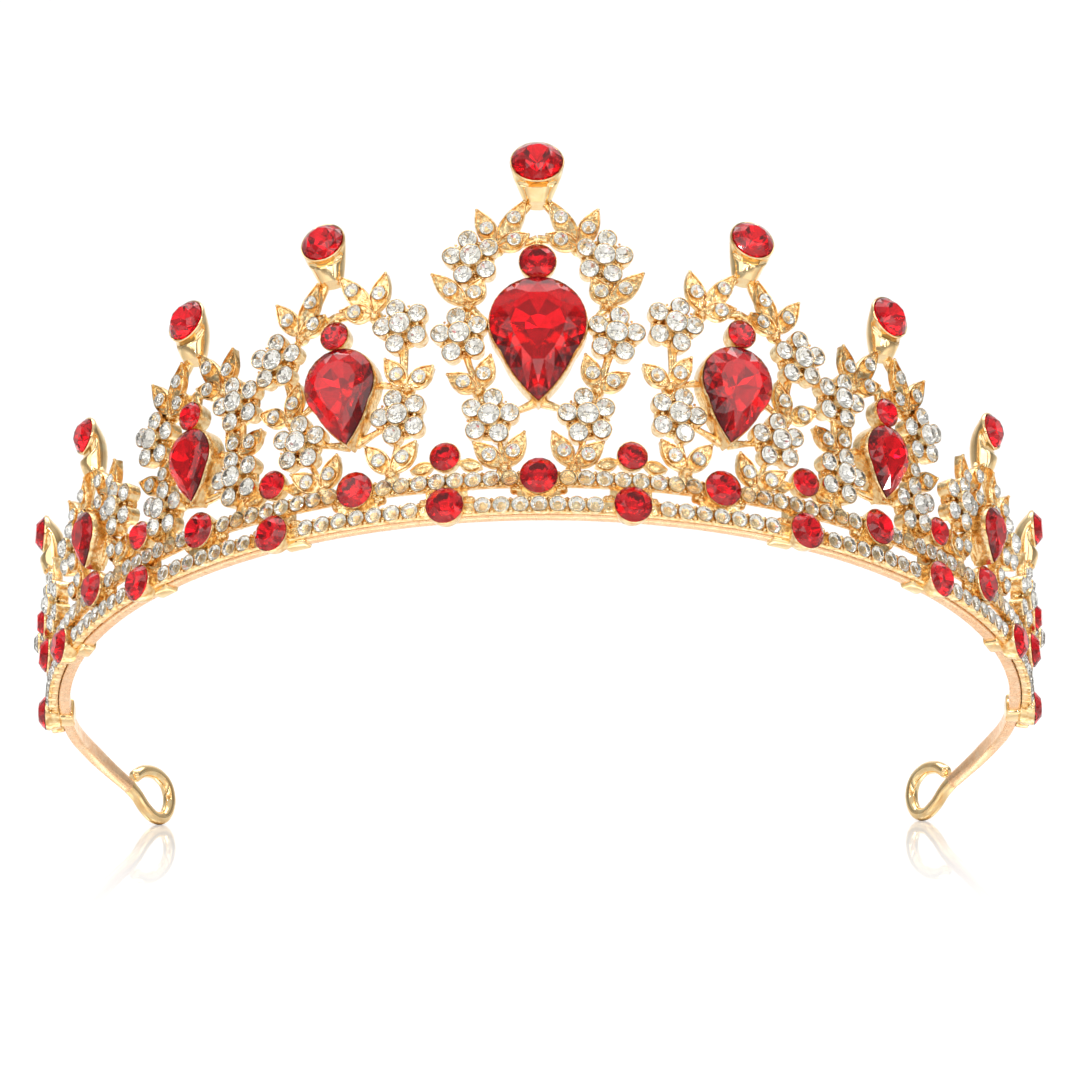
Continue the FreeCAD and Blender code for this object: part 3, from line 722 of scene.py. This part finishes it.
def add_leaf(piece, pair, leaf, rng):
    base, tip, share, back = leaf
    length = leaf_length(base, tip)
    place = leaf_place(pair, base, tip, back)
    piece.add(leaf_shell(length, LEAF_W), place)
    cup = collet(LEAF_STONE_R + 0.17, LEAF_STONE_R, LEAF_H, 0.85, 0.4, 18)
    piece.add(cup, place @ shift(0, length * share, 0))
    # Granules fill the bed between the stone and the two ends
    for i in range(26):
        along = rng.uniform(0.1, 0.93)
        half = leaf_half(LEAF_W, along) - 0.42
        if half < 0.08 or abs(along * length - length * share) < LEAF_STONE_R + 0.3:
            continue
        spot = shift(rng.uniform(-half, half), along * length, PLATE_T - 0.1 + leaf_rise(along))
        piece.add(granule(rng.uniform(0.12, 0.19)), place @ spot)
    piece.add(ball(0.27), place @ shift(0, length * 0.97, PLATE_T + 0.3))


def add_knot(piece, pair, across, up, rng):
    """Boss where stems meet, covered with granules."""
    place = on_motif(pair, across, up)
    piece.add(dome(1.05, PLATE_T + 0.45, 0.1, 14), place)
    for i in range(9):
        turn = rng.uniform(0, 2 * math.pi)
        reach = 0.85 * math.sqrt(rng.random())
        spot = shift(reach * math.cos(turn), reach * math.sin(turn), PLATE_T + 0.42 - 0.5 * reach * reach)
        piece.add(granule(rng.uniform(0.14, 0.2)), place @ spot)


def pear_wall(width, length):
    """Setting wall that the pear sits in."""
    rings = []
    for grow, z in ((0.28, 0.0), (0.36, 0.8), (0.34, 2.3), (0.26, PEAR_BEZEL_H - 0.15), (0.16, PEAR_BEZEL_H),
                    (0.0, PEAR_BEZEL_H - 0.1)):
        rings.append([(x, y, z) for x, y in pear_outline(width, length, grow, 4 * PEAR_FOLD)])
    seat = pear_outline(width, length, 0.0, 4 * PEAR_FOLD)
    for factor, z in ((0.9, PEAR_BEZEL_H - 0.7), (0.3, 0.6)):
        rings.append([(x, y, z) for x, y in scaled(seat, 0.6 * length, factor)])
    return joined_rings(rings)


def add_foot(piece, pair, across):
    """Flared foot that stands on the upper rail."""
    base = on_ring(pair * PITCH + math.degrees(across / RAIL_BACK), CAST_BACK, RAIL_TOP)
    line = [base @ Vector((0, y, 0.6)) for y in (-1.2, -0.4, 0.6, 1.6)]
    out = (base @ UP - base @ ORIGIN).normalized()
    piece.add(tube(line, [(wide, 0.5, 0.7) for wide in (1.7, 1.3, 0.9, 0.7)], [out] * len(line)))


def casting(pair, name):
    """All the metal of the centre casting or of the right-hand casting of a pair."""
    rng = random.Random(40 + pair)
    row = MOTIFS[pair]
    piece = Piece(name, "gold", [GOLD])
    for across, up, phase in motif_flowers(pair):
        add_flower(piece, pair, across, up, phase, rng)
    for leaf in motif_leaves(pair):
        add_leaf(piece, pair, leaf, rng)
    for across, up in [fork[:2] for fork in row["forks"]] + [row["crest"]]:
        add_knot(piece, pair, across, up, rng)
        add_knot(piece, pair, -across, up, rng)
    for start, end in motif_stems(pair):
        add_stem(piece, pair, start, end, rng)
        if start[0] or end[0]:
            add_stem(piece, pair, (-start[0], start[1]), (-end[0], end[1]), rng)
    for side in (1, -1):
        add_foot(piece, pair, side * foot_across(pair))
    if row["pear"]:
        width, length, tip = row["pear"]
        piece.add(pear_wall(width, length), on_motif(pair, 0.0, tip))
    if row["red"]:
        radius, up = row["red"]
        cup = collet(radius + 0.14, radius, CREST_RUBY_H, 0.75 * radius, 0.0, 28)
        piece.add(cup, on_motif(pair, 0.0, up))
    else:
        piece.add(dome(0.9, 1.6, 0.1, 12), on_motif(pair, 0.0, row["crest"][1] + 1.4))
    return piece


casting(0, "motif_center").make(CAST_WOBBLE)
for pair in range(1, len(MOTIFS)):
    casting(pair, "motif_right_%d" % pair).make(CAST_WOBBLE)
    casting(pair, "motif_left_%d" % pair).make(CAST_WOBBLE, mirror=True)


# ---------------- stones and finials of the castings

def tilted(rng, sway):
    """Small random lean of a stone."""
    return Matrix.Rotation(math.radians(rng.uniform(-sway, sway)), 4, rng.choice("XY"))


def clear_stones(kind, pair, seats, seed, sway):
    """Clear stones of a pair, at seats of (radius, place) on the right-hand casting."""
    piece = Piece(kind + PAIR_NAMES[pair], "crystal", [CRYSTAL, SILVER_FOIL], crease=0.0)
    rng = random.Random(seed + pair)
    for side, flip in both_sides(pair):
        for radius, seat in seats:
            shell, looks = small_cut(radius, rng.uniform(0, 45))
            place = seat @ tilted(rng, sway)
            piece.add(shell, side @ place, looks, flip)
    piece.make()


def flower_seats(pair):
    seats = []
    for across, up, phase in motif_flowers(pair):
        hub = on_motif(pair, across, up)
        seats.append((HEART_STONE_R, hub @ shift(0, 0, HEART_H + 0.06)))
        for x, y in petal_spots(phase):
            seats.append((PETAL_STONE_R, hub @ shift(x, y, PETAL_H + 0.06)))
    return seats


def leaf_seats(pair):
    seats = []
    for base, tip, share, back in motif_leaves(pair):
        along = leaf_length(base, tip) * share
        seats.append((LEAF_STONE_R, leaf_place(pair, base, tip, back) @ shift(0, along, LEAF_H + 0.05)))
    return seats


def red_stone(kind, pair, glass, cut, place):
    """One red stone on each casting of a pair."""
    piece = Piece(kind + PAIR_NAMES[pair], "ruby", [glass, RUBY_FOIL], crease=0.0)
    shell, looks = cut
    for side, flip in both_sides(pair):
        piece.add(shell, side @ place, looks, flip)
    piece.make()


def finial_place(pair):
    """Frame of a finial's stone, which faces outward and a little up."""
    tilt = MOTIFS[pair]["finial"][1]
    spot = on_motif(pair, 0.0, MOTIFS[pair]["crest"][1] + FINIAL_STEM + FINIAL_RISE)
    swing = Matrix.Rotation(math.radians(pair * PITCH), 4, "Z")
    return Matrix.Translation(spot @ Vector((0, 0, FINIAL_OUT))) @ swing \
        @ Matrix.Rotation(math.radians(90 - tilt), 4, "X")


def finial_shell(pair):
    """Horn-like cup that swells from the neck to the stone's rim."""
    radius = MOTIFS[pair]["finial"][0]
    place = finial_place(pair)
    foot = on_motif(pair, 0.0, MOTIFS[pair]["crest"][1] + FINIAL_STEM - 0.9)
    neck_r = 1.5
    # The middle line is a cubic curve from the neck to the back of the stone
    p0 = foot @ Vector((0, 0, 0.8))
    p1 = foot @ Vector((0, 2.6, 1.0))
    p2 = place @ Vector((0, -0.5 * radius, -0.75 * radius))
    p3 = place @ Vector((0, 0, -0.55))
    start = (foot.to_3x3() @ Vector((0, 1, 0))).normalized()
    finish = (place.to_3x3() @ Vector((0, 0, 1))).normalized()
    wide = (place.to_3x3() @ Vector((1, 0, 0))).normalized()
    rings = []
    count = 28
    steps = 10
    for i in range(steps + 1):
        t = i / steps
        middle = (1 - t) ** 3 * p0 + 3 * t * (1 - t) ** 2 * p1 + 3 * t * t * (1 - t) * p2 + t ** 3 * p3
        axis = start.lerp(finish, min(1.0, 1.15 * t) ** 1.6).normalized()
        side = (wide - wide.dot(axis) * axis).normalized()
        other = axis.cross(side)
        size = neck_r + (radius + 0.24 - neck_r) * (t ** 0.75)
        ring = []
        for j in range(count):
            turn = 2 * math.pi * j / count
            facet = 1.0 + 0.02 * (1 - t) * math.cos(6 * turn)
            ring.append(tuple(middle + size * facet * (side * math.cos(turn) + other * math.sin(turn))))
        rings.append(ring)
    rim = [(radius + 0.3, -0.3), (radius + 0.3, -0.08), (radius + 0.2, 0.06), (radius + 0.08, 0.04),
           (radius - 0.03, -0.12), (0.85 * radius, -0.22 * radius), (0.25 * radius, -0.75 * radius)]
    for rim_radius, z in rim:
        rings.append([tuple(place @ Vector(point)) for point in circle(rim_radius, z, count)])
    return joined_rings(rings)


for pair, row in enumerate(MOTIFS):
    clear_stones("flower_stones_", pair, flower_seats(pair), 60, 5)
    clear_stones("leaf_stones_", pair, leaf_seats(pair), 80, 6)
    cup = Piece("finial_cup_" + PAIR_NAMES[pair], "gold", [SMOOTH_GOLD], crease=50.0)
    for side, flip in both_sides(pair):
        cup.add(finial_shell(pair), side, flip=flip)
    cup.make()
    seat = finial_place(pair) @ shift(0, 0, 0.05)
    red_stone("finial_ruby_", pair, RUBY, ruby_cut(row["finial"][0], 11.0), seat)
    if row["pear"]:
        width, length, tip = row["pear"]
        seat = on_motif(pair, 0.0, tip - 0.1) @ shift(0, 0, PEAR_BEZEL_H + 0.1)
        red_stone("pear_ruby_", pair, DEEP_RUBY, pear_cut(width + 0.2, length + 0.2), seat)
    if row["red"]:
        radius, up = row["red"]
        seat = on_motif(pair, 0.0, up) @ shift(0, 0, CREST_RUBY_H + 0.05)
        red_stone("round_ruby_", pair, RUBY, ruby_cut(radius, 7.0), seat)


# ---------------- rails

def add_bar(piece, radius, height, start, end, deep, tall, power=0.45):
    """Rounded bar that follows the ring from one angle to another; deep and tall are half sizes."""
    count = max(2, int(abs(end - start) / 1.5))
    angles = [start + (end - start) * i / count for i in range(count + 1)]
    line = [on_ring(angle, radius, height) @ ORIGIN for angle in angles]
    piece.add(tube(line, [(deep, tall, power)] * len(line), [UP] * len(line), 16))


def add_rail_beads(piece, height, stones, seed):
    """Beads above and below each place where two collets meet."""
    rng = random.Random(seed)
    gap = math.degrees(0.5 * UPPER_STEP / (RAIL_BACK + RAIL_DEPTH))
    for angle in stones:
        for side in (-1, 1):
            for edge in (-0.86, 0.86):
                place = on_ring(angle + side * gap, RAIL_BACK, height + edge * rng.uniform(0.93, 1.07))
                piece.add(ball(rng.uniform(0.2, 0.26)), place @ shift(0, 0, RAIL_DEPTH - 0.2))


def add_web(piece, angle, height, towards):
    """Web behind a cup that ties its rail to the other, which lies towards +1 or -1."""
    for edge in (-1, 1):
        for reach, size in ((2.75, 0.42), (3.3, 0.3)):
            turn = math.degrees(edge * reach / RAIL_BACK)
            spot = on_ring(angle + turn, RAIL_BACK, height + towards * 1.3)
            piece.add(dome(size + 0.35, 1.1, 0.05, 10), spot)
            piece.add(ball(size * 0.6), spot @ shift(0, 0, 1.05))
    add_bar(piece, RAIL_BACK + 0.42, height + towards * 1.95, angle - 2.3, angle + 2.3, 0.38, 1.05)


def rail(name, height, half_arc, stones, rubies, towards, seed):
    """Cast row of collets between two raised edges, with the larger cups in it."""
    piece = Piece(name, "gold", [GOLD])
    middle = RAIL_BACK + 0.5 * STRIP_DEPTH
    add_bar(piece, middle, height, -half_arc, half_arc, 0.5 * STRIP_DEPTH, 0.5 * RAIL_H)
    for edge in (-1, 1):
        edge_height = height + edge * (0.5 * RAIL_H + 0.05)
        add_bar(piece, RAIL_BACK + 0.62, edge_height, -half_arc, half_arc, 0.42, 0.17, 0.9)
    small_cup = collet(RAIL_STONE_R + 0.12, RAIL_STONE_R, RAIL_DEPTH, 1.1, 0.2, 18)
    for angle in stones:
        piece.add(small_cup, on_ring(angle, RAIL_BACK, height))
    add_rail_beads(piece, height, stones, seed)
    for angle in rubies:
        large_cup = collet(CUP_R - 0.06, RAIL_RUBY_R, CUP_DEPTH, 1.75, 0.0, 30)
        piece.add(large_cup, on_ring(angle, RAIL_BACK, height))
        add_web(piece, angle, height, towards)
    piece.make(RAIL_WOBBLE)


def ring_stones(name, slot, materials, cut, radius, back, height, angles):
    """One piece of like stones that stand on the ring at one radius and height."""
    piece = Piece(name, slot, materials, crease=0.0)
    rng = random.Random(len(angles))
    for angle in angles:
        shell, looks = cut(radius, rng.uniform(0, 45))
        piece.add(shell, on_ring(angle, back, height) @ tilted(rng, 4), looks)
    piece.make()


def clear_ring(name, radius, back, height, angles):
    ring_stones(name, "crystal", [CRYSTAL, SILVER_FOIL], small_cut, radius, back, height, angles)


def red_ring(name, radius, back, height, angles):
    ring_stones(name, "ruby", [RUBY, RUBY_FOIL], ruby_cut, radius, back, height, angles)


def spacer_cups():
    """Cups between the castings, each with a leaf on either side."""
    piece = Piece("spacer_cups", "gold", [GOLD])
    for angle in SPACER_ANGLES:
        cup = collet(SPACER_RUBY_R + 0.16, SPACER_RUBY_R, SPACER_DEPTH, 1.4, 0.0, 26)
        piece.add(cup, on_ring(angle, CAST_BACK, SPACER_HEIGHT))
        for side in (-1, 1):
            place = on_ring(angle + side * 1.35, CAST_BACK, SPACER_HEIGHT - 0.6, 0.0, side * 104)
            piece.add(leaf_shell(3.4, 1.9), place @ shift(0, 0, -0.3))
    piece.make(RAIL_WOBBLE)


def end_collets():
    piece = Piece("end_collets", "gold", [GOLD])
    for side in (-1, 1):
        cup = collet(END_CUP_R, PETAL_STONE_R, END_CUP_DEPTH, 1.1)
        piece.add(cup, on_ring(side * END_ANGLE, RAIL_BACK, 0.0))
    piece.make(RAIL_WOBBLE)


rail("lower_rail", 0.0, 4.5 * PITCH, LOWER_STONES, LOWER_RUBIES, 1, 10)
rail("upper_rail", UPPER_HEIGHT, 4.5 * PITCH - 3.0, UPPER_STONES, UPPER_RUBIES, -1, 49)
clear_ring("lower_rail_stones", RAIL_STONE_R, RAIL_BACK + RAIL_DEPTH + 0.05, 0.0, LOWER_STONES)
clear_ring("upper_rail_stones", RAIL_STONE_R, RAIL_BACK + RAIL_DEPTH + 0.05, UPPER_HEIGHT, UPPER_STONES)
clear_ring("end_stones", PETAL_STONE_R, RAIL_BACK + END_CUP_DEPTH + 0.05, 0.0, [-END_ANGLE, END_ANGLE])
red_ring("lower_rail_rubies", RAIL_RUBY_R + 0.1, RAIL_BACK + CUP_DEPTH + 0.08, 0.0, LOWER_RUBIES)
red_ring("upper_rail_rubies", RAIL_RUBY_R + 0.1, RAIL_BACK + CUP_DEPTH + 0.08, UPPER_HEIGHT, UPPER_RUBIES)
red_ring("spacer_rubies", SPACER_RUBY_R + 0.05, CAST_BACK + SPACER_DEPTH + 0.06, SPACER_HEIGHT, SPACER_ANGLES)
spacer_cups()
end_collets()


# ---------------- head strip

def catmull(points, steps):
    """Smooth curve through flat points."""
    line = []
    padded = [points[0]] + points + [points[-1]]
    for i in range(1, len(padded) - 2):
        p0, p1, p2, p3 = (Vector(point) for point in padded[i - 1:i + 3])
        for step in range(steps):
            t = step / steps
            line.append(0.5 * (2 * p1 + (p2 - p0) * t + (2 * p0 - 5 * p1 + 4 * p2 - p3) * t * t
                               + (3 * p1 - p0 - 3 * p2 + p3) * t ** 3))
    line.append(Vector(points[-1]))
    return line


def outward_at(angle):
    turn = math.radians(angle)
    return Vector((math.sin(turn), -math.cos(turn), 0))


def between(flat, wire, share):
    """Section that is a share of the way from the flat strip to the wire."""
    return tuple(low + (high - low) * share for low, high in zip(flat, wire))


def headband():
    """Flat strip that is drawn to wire at each end and curled into an eye, the same on both sides."""
    flat = (0.5 * BAND_H, 0.5 * BAND_T, 0.32)
    wire = (WIRE_R, WIRE_R, 1.0)
    outward = [outward_at(BAND_HALF_ARC * i / BAND_STEPS) for i in range(BAND_STEPS + 1)]
    line = [BAND_MID * out for out in outward]
    sections = [flat] * len(line)
    hub = (BAND_MID - TAIL_R) * outward[-1]
    for i in range(1, TAIL_STEPS + 1):
        out = outward_at(BAND_HALF_ARC + TAIL_ARC * i / TAIL_STEPS)
        sunk = max(0.0, (i - SINK_FROM) / (TAIL_STEPS - SINK_FROM))
        drawn = max(0.0, (i - DRAWN_FROM) / (TAIL_STEPS - DRAWN_FROM))
        line.append(hub + TAIL_R * out - TAIL_SINK * sunk ** 1.8 * UP)
        outward.append(out)
        sections.append(between(flat, wire, TAIL_DRAWN * drawn))
    heading = Vector((-out.y, out.x, 0))
    end = line[-1].copy()
    curl = catmull(CURL, CURL_STEPS)[1:]
    for i, spot in enumerate(curl):
        line.append(end + heading * spot.x + UP * spot.y)
        outward.append(out)
        sections.append(between(flat, wire, min(1.0, TAIL_DRAWN + (1 - TAIL_DRAWN) * i / 8)))
    # The wire's end is rounded off over its last two rings
    for i, shrink in enumerate((0.55, 0.86)):
        wide, tall, power = sections[-1 - i]
        sections[-1 - i] = (wide * shrink, tall * shrink, power)
    far_line = [Vector((-point.x, point.y, point.z)) for point in line[:0:-1]]
    far_outward = [Vector((-out.x, out.y, out.z)) for out in outward[:0:-1]]
    shell = tube(far_line + line, sections[:0:-1] + sections, far_outward + outward, BAND_SIDES)
    # The eyes and the two end caps are polished gold, the rest is rose gold
    curled = BAND_SIDES * len(curl)
    flat_faces = len(shell[1]) - 2 - 2 * curled
    piece = Piece("headband", "rose_gold", [ROSE, SMOOTH_GOLD], crease=40.0)
    piece.add(shell, None, [1] * curled + [0] * flat_faces + [1] * curled + [1, 1])
    piece.make()


def band_clips():
    """Tabs folded round the strip, with their ends lapped over its inner side."""
    piece = Piece("band_clips", "gold", [SMOOTH_GOLD], crease=50.0)
    reach = math.degrees(0.5 * CLIP_W / BAND_MID)
    shares = (-1.0, -0.93, -0.8, 0.0, 0.8, 0.93, 1.0)
    grow = (-0.16, -0.04, 0.0, 0.0, 0.0, -0.04, -0.16)
    ups = [UP] * len(shares)
    for spot in CLIP_SPOTS:
        for side in (-1, 1):
            middle = side * spot * PITCH
            wrap = [on_ring(middle + share * reach, BAND_MID - 0.05, 0.0) @ ORIGIN for share in shares]
            sizes = [(0.5 * BAND_T + 0.36 + more, 0.5 * BAND_H + 0.42 + more, 0.35) for more in grow]
            piece.add(tube(wrap, sizes, ups, 20))
            lap = [on_ring(middle + share * reach * 0.92, BAND_MID - 0.62, -0.7) @ ORIGIN for share in shares]
            piece.add(tube(lap, [(0.42 + more, 0.75 + more, 0.5) for more in grow], ups, 16))
    piece.make()


headband()
band_clips()


# ---------------- stage, light and camera

FLOOR_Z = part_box("headband")[0].z
FLOOR_HALF = 9.0
BACKDROP_Y = 1.2
BACKDROP_BEND = 0.6
BACKDROP_TOP = 2.4


def new_object(name, data):
    made = bpy.data.objects.new(name, data)
    bpy.context.scene.collection.objects.link(made)
    return made


def floor_material():
    """Matt white that turns into a mirror near the part and fades out in front of it and behind it."""
    mat = bpy.data.materials.new("pale floor")
    mat.use_nodes = True
    tree = mat.node_tree
    tree.nodes.clear()
    out = tree.nodes.new("ShaderNodeOutputMaterial")
    matte = node(tree, "ShaderNodeBsdfDiffuse", Color=(0.96, 0.96, 0.96, 1.0))
    gloss = node(tree, "ShaderNodeBsdfGlossy", Color=(1.0, 1.0, 1.0, 1.0), Roughness=0.008)
    mix = tree.nodes.new("ShaderNodeMixShader")
    where = tree.nodes.new("ShaderNodeTexCoord").outputs["Object"]
    split = tree.nodes.new("ShaderNodeSeparateXYZ")
    tree.links.new(where, split.inputs[0])
    share = node(tree, "ShaderNodeMath", operation="MULTIPLY")
    for i, (low, high, low_value, high_value) in enumerate([(-0.4, 0.0, 0.0, 0.5), (0.1, 0.35, 1.0, 0.0)]):
        fade = node(tree, "ShaderNodeMapRange", **{"From Min": low, "From Max": high, "To Min": low_value,
                                                   "To Max": high_value})
        tree.links.new(split.outputs["Y"], fade.inputs["Value"])
        tree.links.new(fade.outputs["Result"], share.inputs[i])
    tree.links.new(share.outputs["Value"], mix.inputs["Fac"])
    tree.links.new(matte.outputs[0], mix.inputs[1])
    tree.links.new(gloss.outputs[0], mix.inputs[2])
    tree.links.new(mix.outputs[0], out.inputs["Surface"])
    return mat


def stage_floor():
    """Pale floor that sweeps up into a backdrop."""
    profile = [(-FLOOR_HALF, 0.0), (-0.6, 0.0), (0.6, 0.0), (BACKDROP_Y, 0.0)]
    steps = 16
    for i in range(1, steps + 1):
        turn = 0.5 * math.pi * i / steps
        profile.append((BACKDROP_Y + BACKDROP_BEND * math.sin(turn), BACKDROP_BEND * (1 - math.cos(turn))))
    wall_y = BACKDROP_Y + BACKDROP_BEND
    profile += [(wall_y, 0.5 * BACKDROP_TOP), (wall_y, BACKDROP_TOP)]
    verts = []
    for y, z in profile:
        verts += [(-FLOOR_HALF, y, FLOOR_Z + z), (FLOOR_HALF, y, FLOOR_Z + z)]
    faces = [[2 * i, 2 * i + 1, 2 * i + 3, 2 * i + 2] for i in range(len(profile) - 1)]
    mesh = bpy.data.meshes.new("floor")
    mesh.from_pydata(verts, [], faces)
    mesh.polygons.foreach_set("use_smooth", [True] * len(mesh.polygons))
    mesh.materials.append(floor_material())
    new_object("floor", mesh)


def area_light(name, place, target, size, watts):
    light = bpy.data.lights.new(name, "AREA")
    light.shape = "RECTANGLE"
    light.size, light.size_y = size
    light.energy = watts
    lamp = new_object(name, light)
    lamp.location = place
    lamp.rotation_euler = (Vector(target) - Vector(place)).to_track_quat("-Z", "Y").to_euler()
    lamp.visible_camera = False


def world_light():
    """Grey surroundings, darkest just under the horizon."""
    world = bpy.data.worlds.new("studio")
    bpy.context.scene.world = world
    world.use_nodes = True
    tree = world.node_tree
    background = tree.nodes["Background"]
    where = tree.nodes.new("ShaderNodeTexCoord").outputs["Generated"]
    split = tree.nodes.new("ShaderNodeSeparateXYZ")
    tree.links.new(where, split.inputs[0])
    stops = [(0.0, grey(0.4)), (0.45, grey(0.22)), (0.6, grey(0.5)), (1.0, grey(0.8))]
    tree.links.new(ramp(tree, split.outputs["Z"], stops), background.inputs["Color"])
    background.inputs["Strength"].default_value = 1.0


def studio():
    world_light()
    part = (0, 0, 0.03)
    area_light("top", (0.0, 0.15, 1.1), (0, 0, 0), (1.0, 0.7), 3.3)
    area_light("key", (-0.75, -0.85, 0.6), part, (0.8, 0.8), 2.7)
    area_light("fill", (0.8, -0.8, 0.45), part, (0.5, 0.7), 1.7)
    area_light("front", (0.05, -1.2, 0.45), part, (1.0, 0.4), 2.6)
    area_light("backdrop", (0.0, 0.75, 1.5), (0, 1.7, 0.1), (2.2, 0.8), 14.0)
    glints = [(-0.35, -1.0, 0.25), (0.3, -1.0, 0.15), (0.55, -0.7, 0.65), (-0.5, -0.6, 0.8)]
    for i, place in enumerate(glints):
        area_light("glint_%d" % i, place, part, (0.035, 0.035), 0.2)


def main_camera():
    lens = bpy.data.cameras.new("camera")
    lens.sensor_width = 36.0
    lens.lens = 156.9
    lens.clip_start = 0.01
    lens.clip_end = 20.0
    camera = new_object("camera", lens)
    camera.location = (0.0, -0.7, 0.0)
    camera.rotation_euler = (math.radians(90 + 2.07), math.radians(0.3), 0.0)
    bpy.context.scene.camera = camera


stage_floor()
studio()
main_camera()
bpy.context.scene.view_settings.view_transform = "Standard"
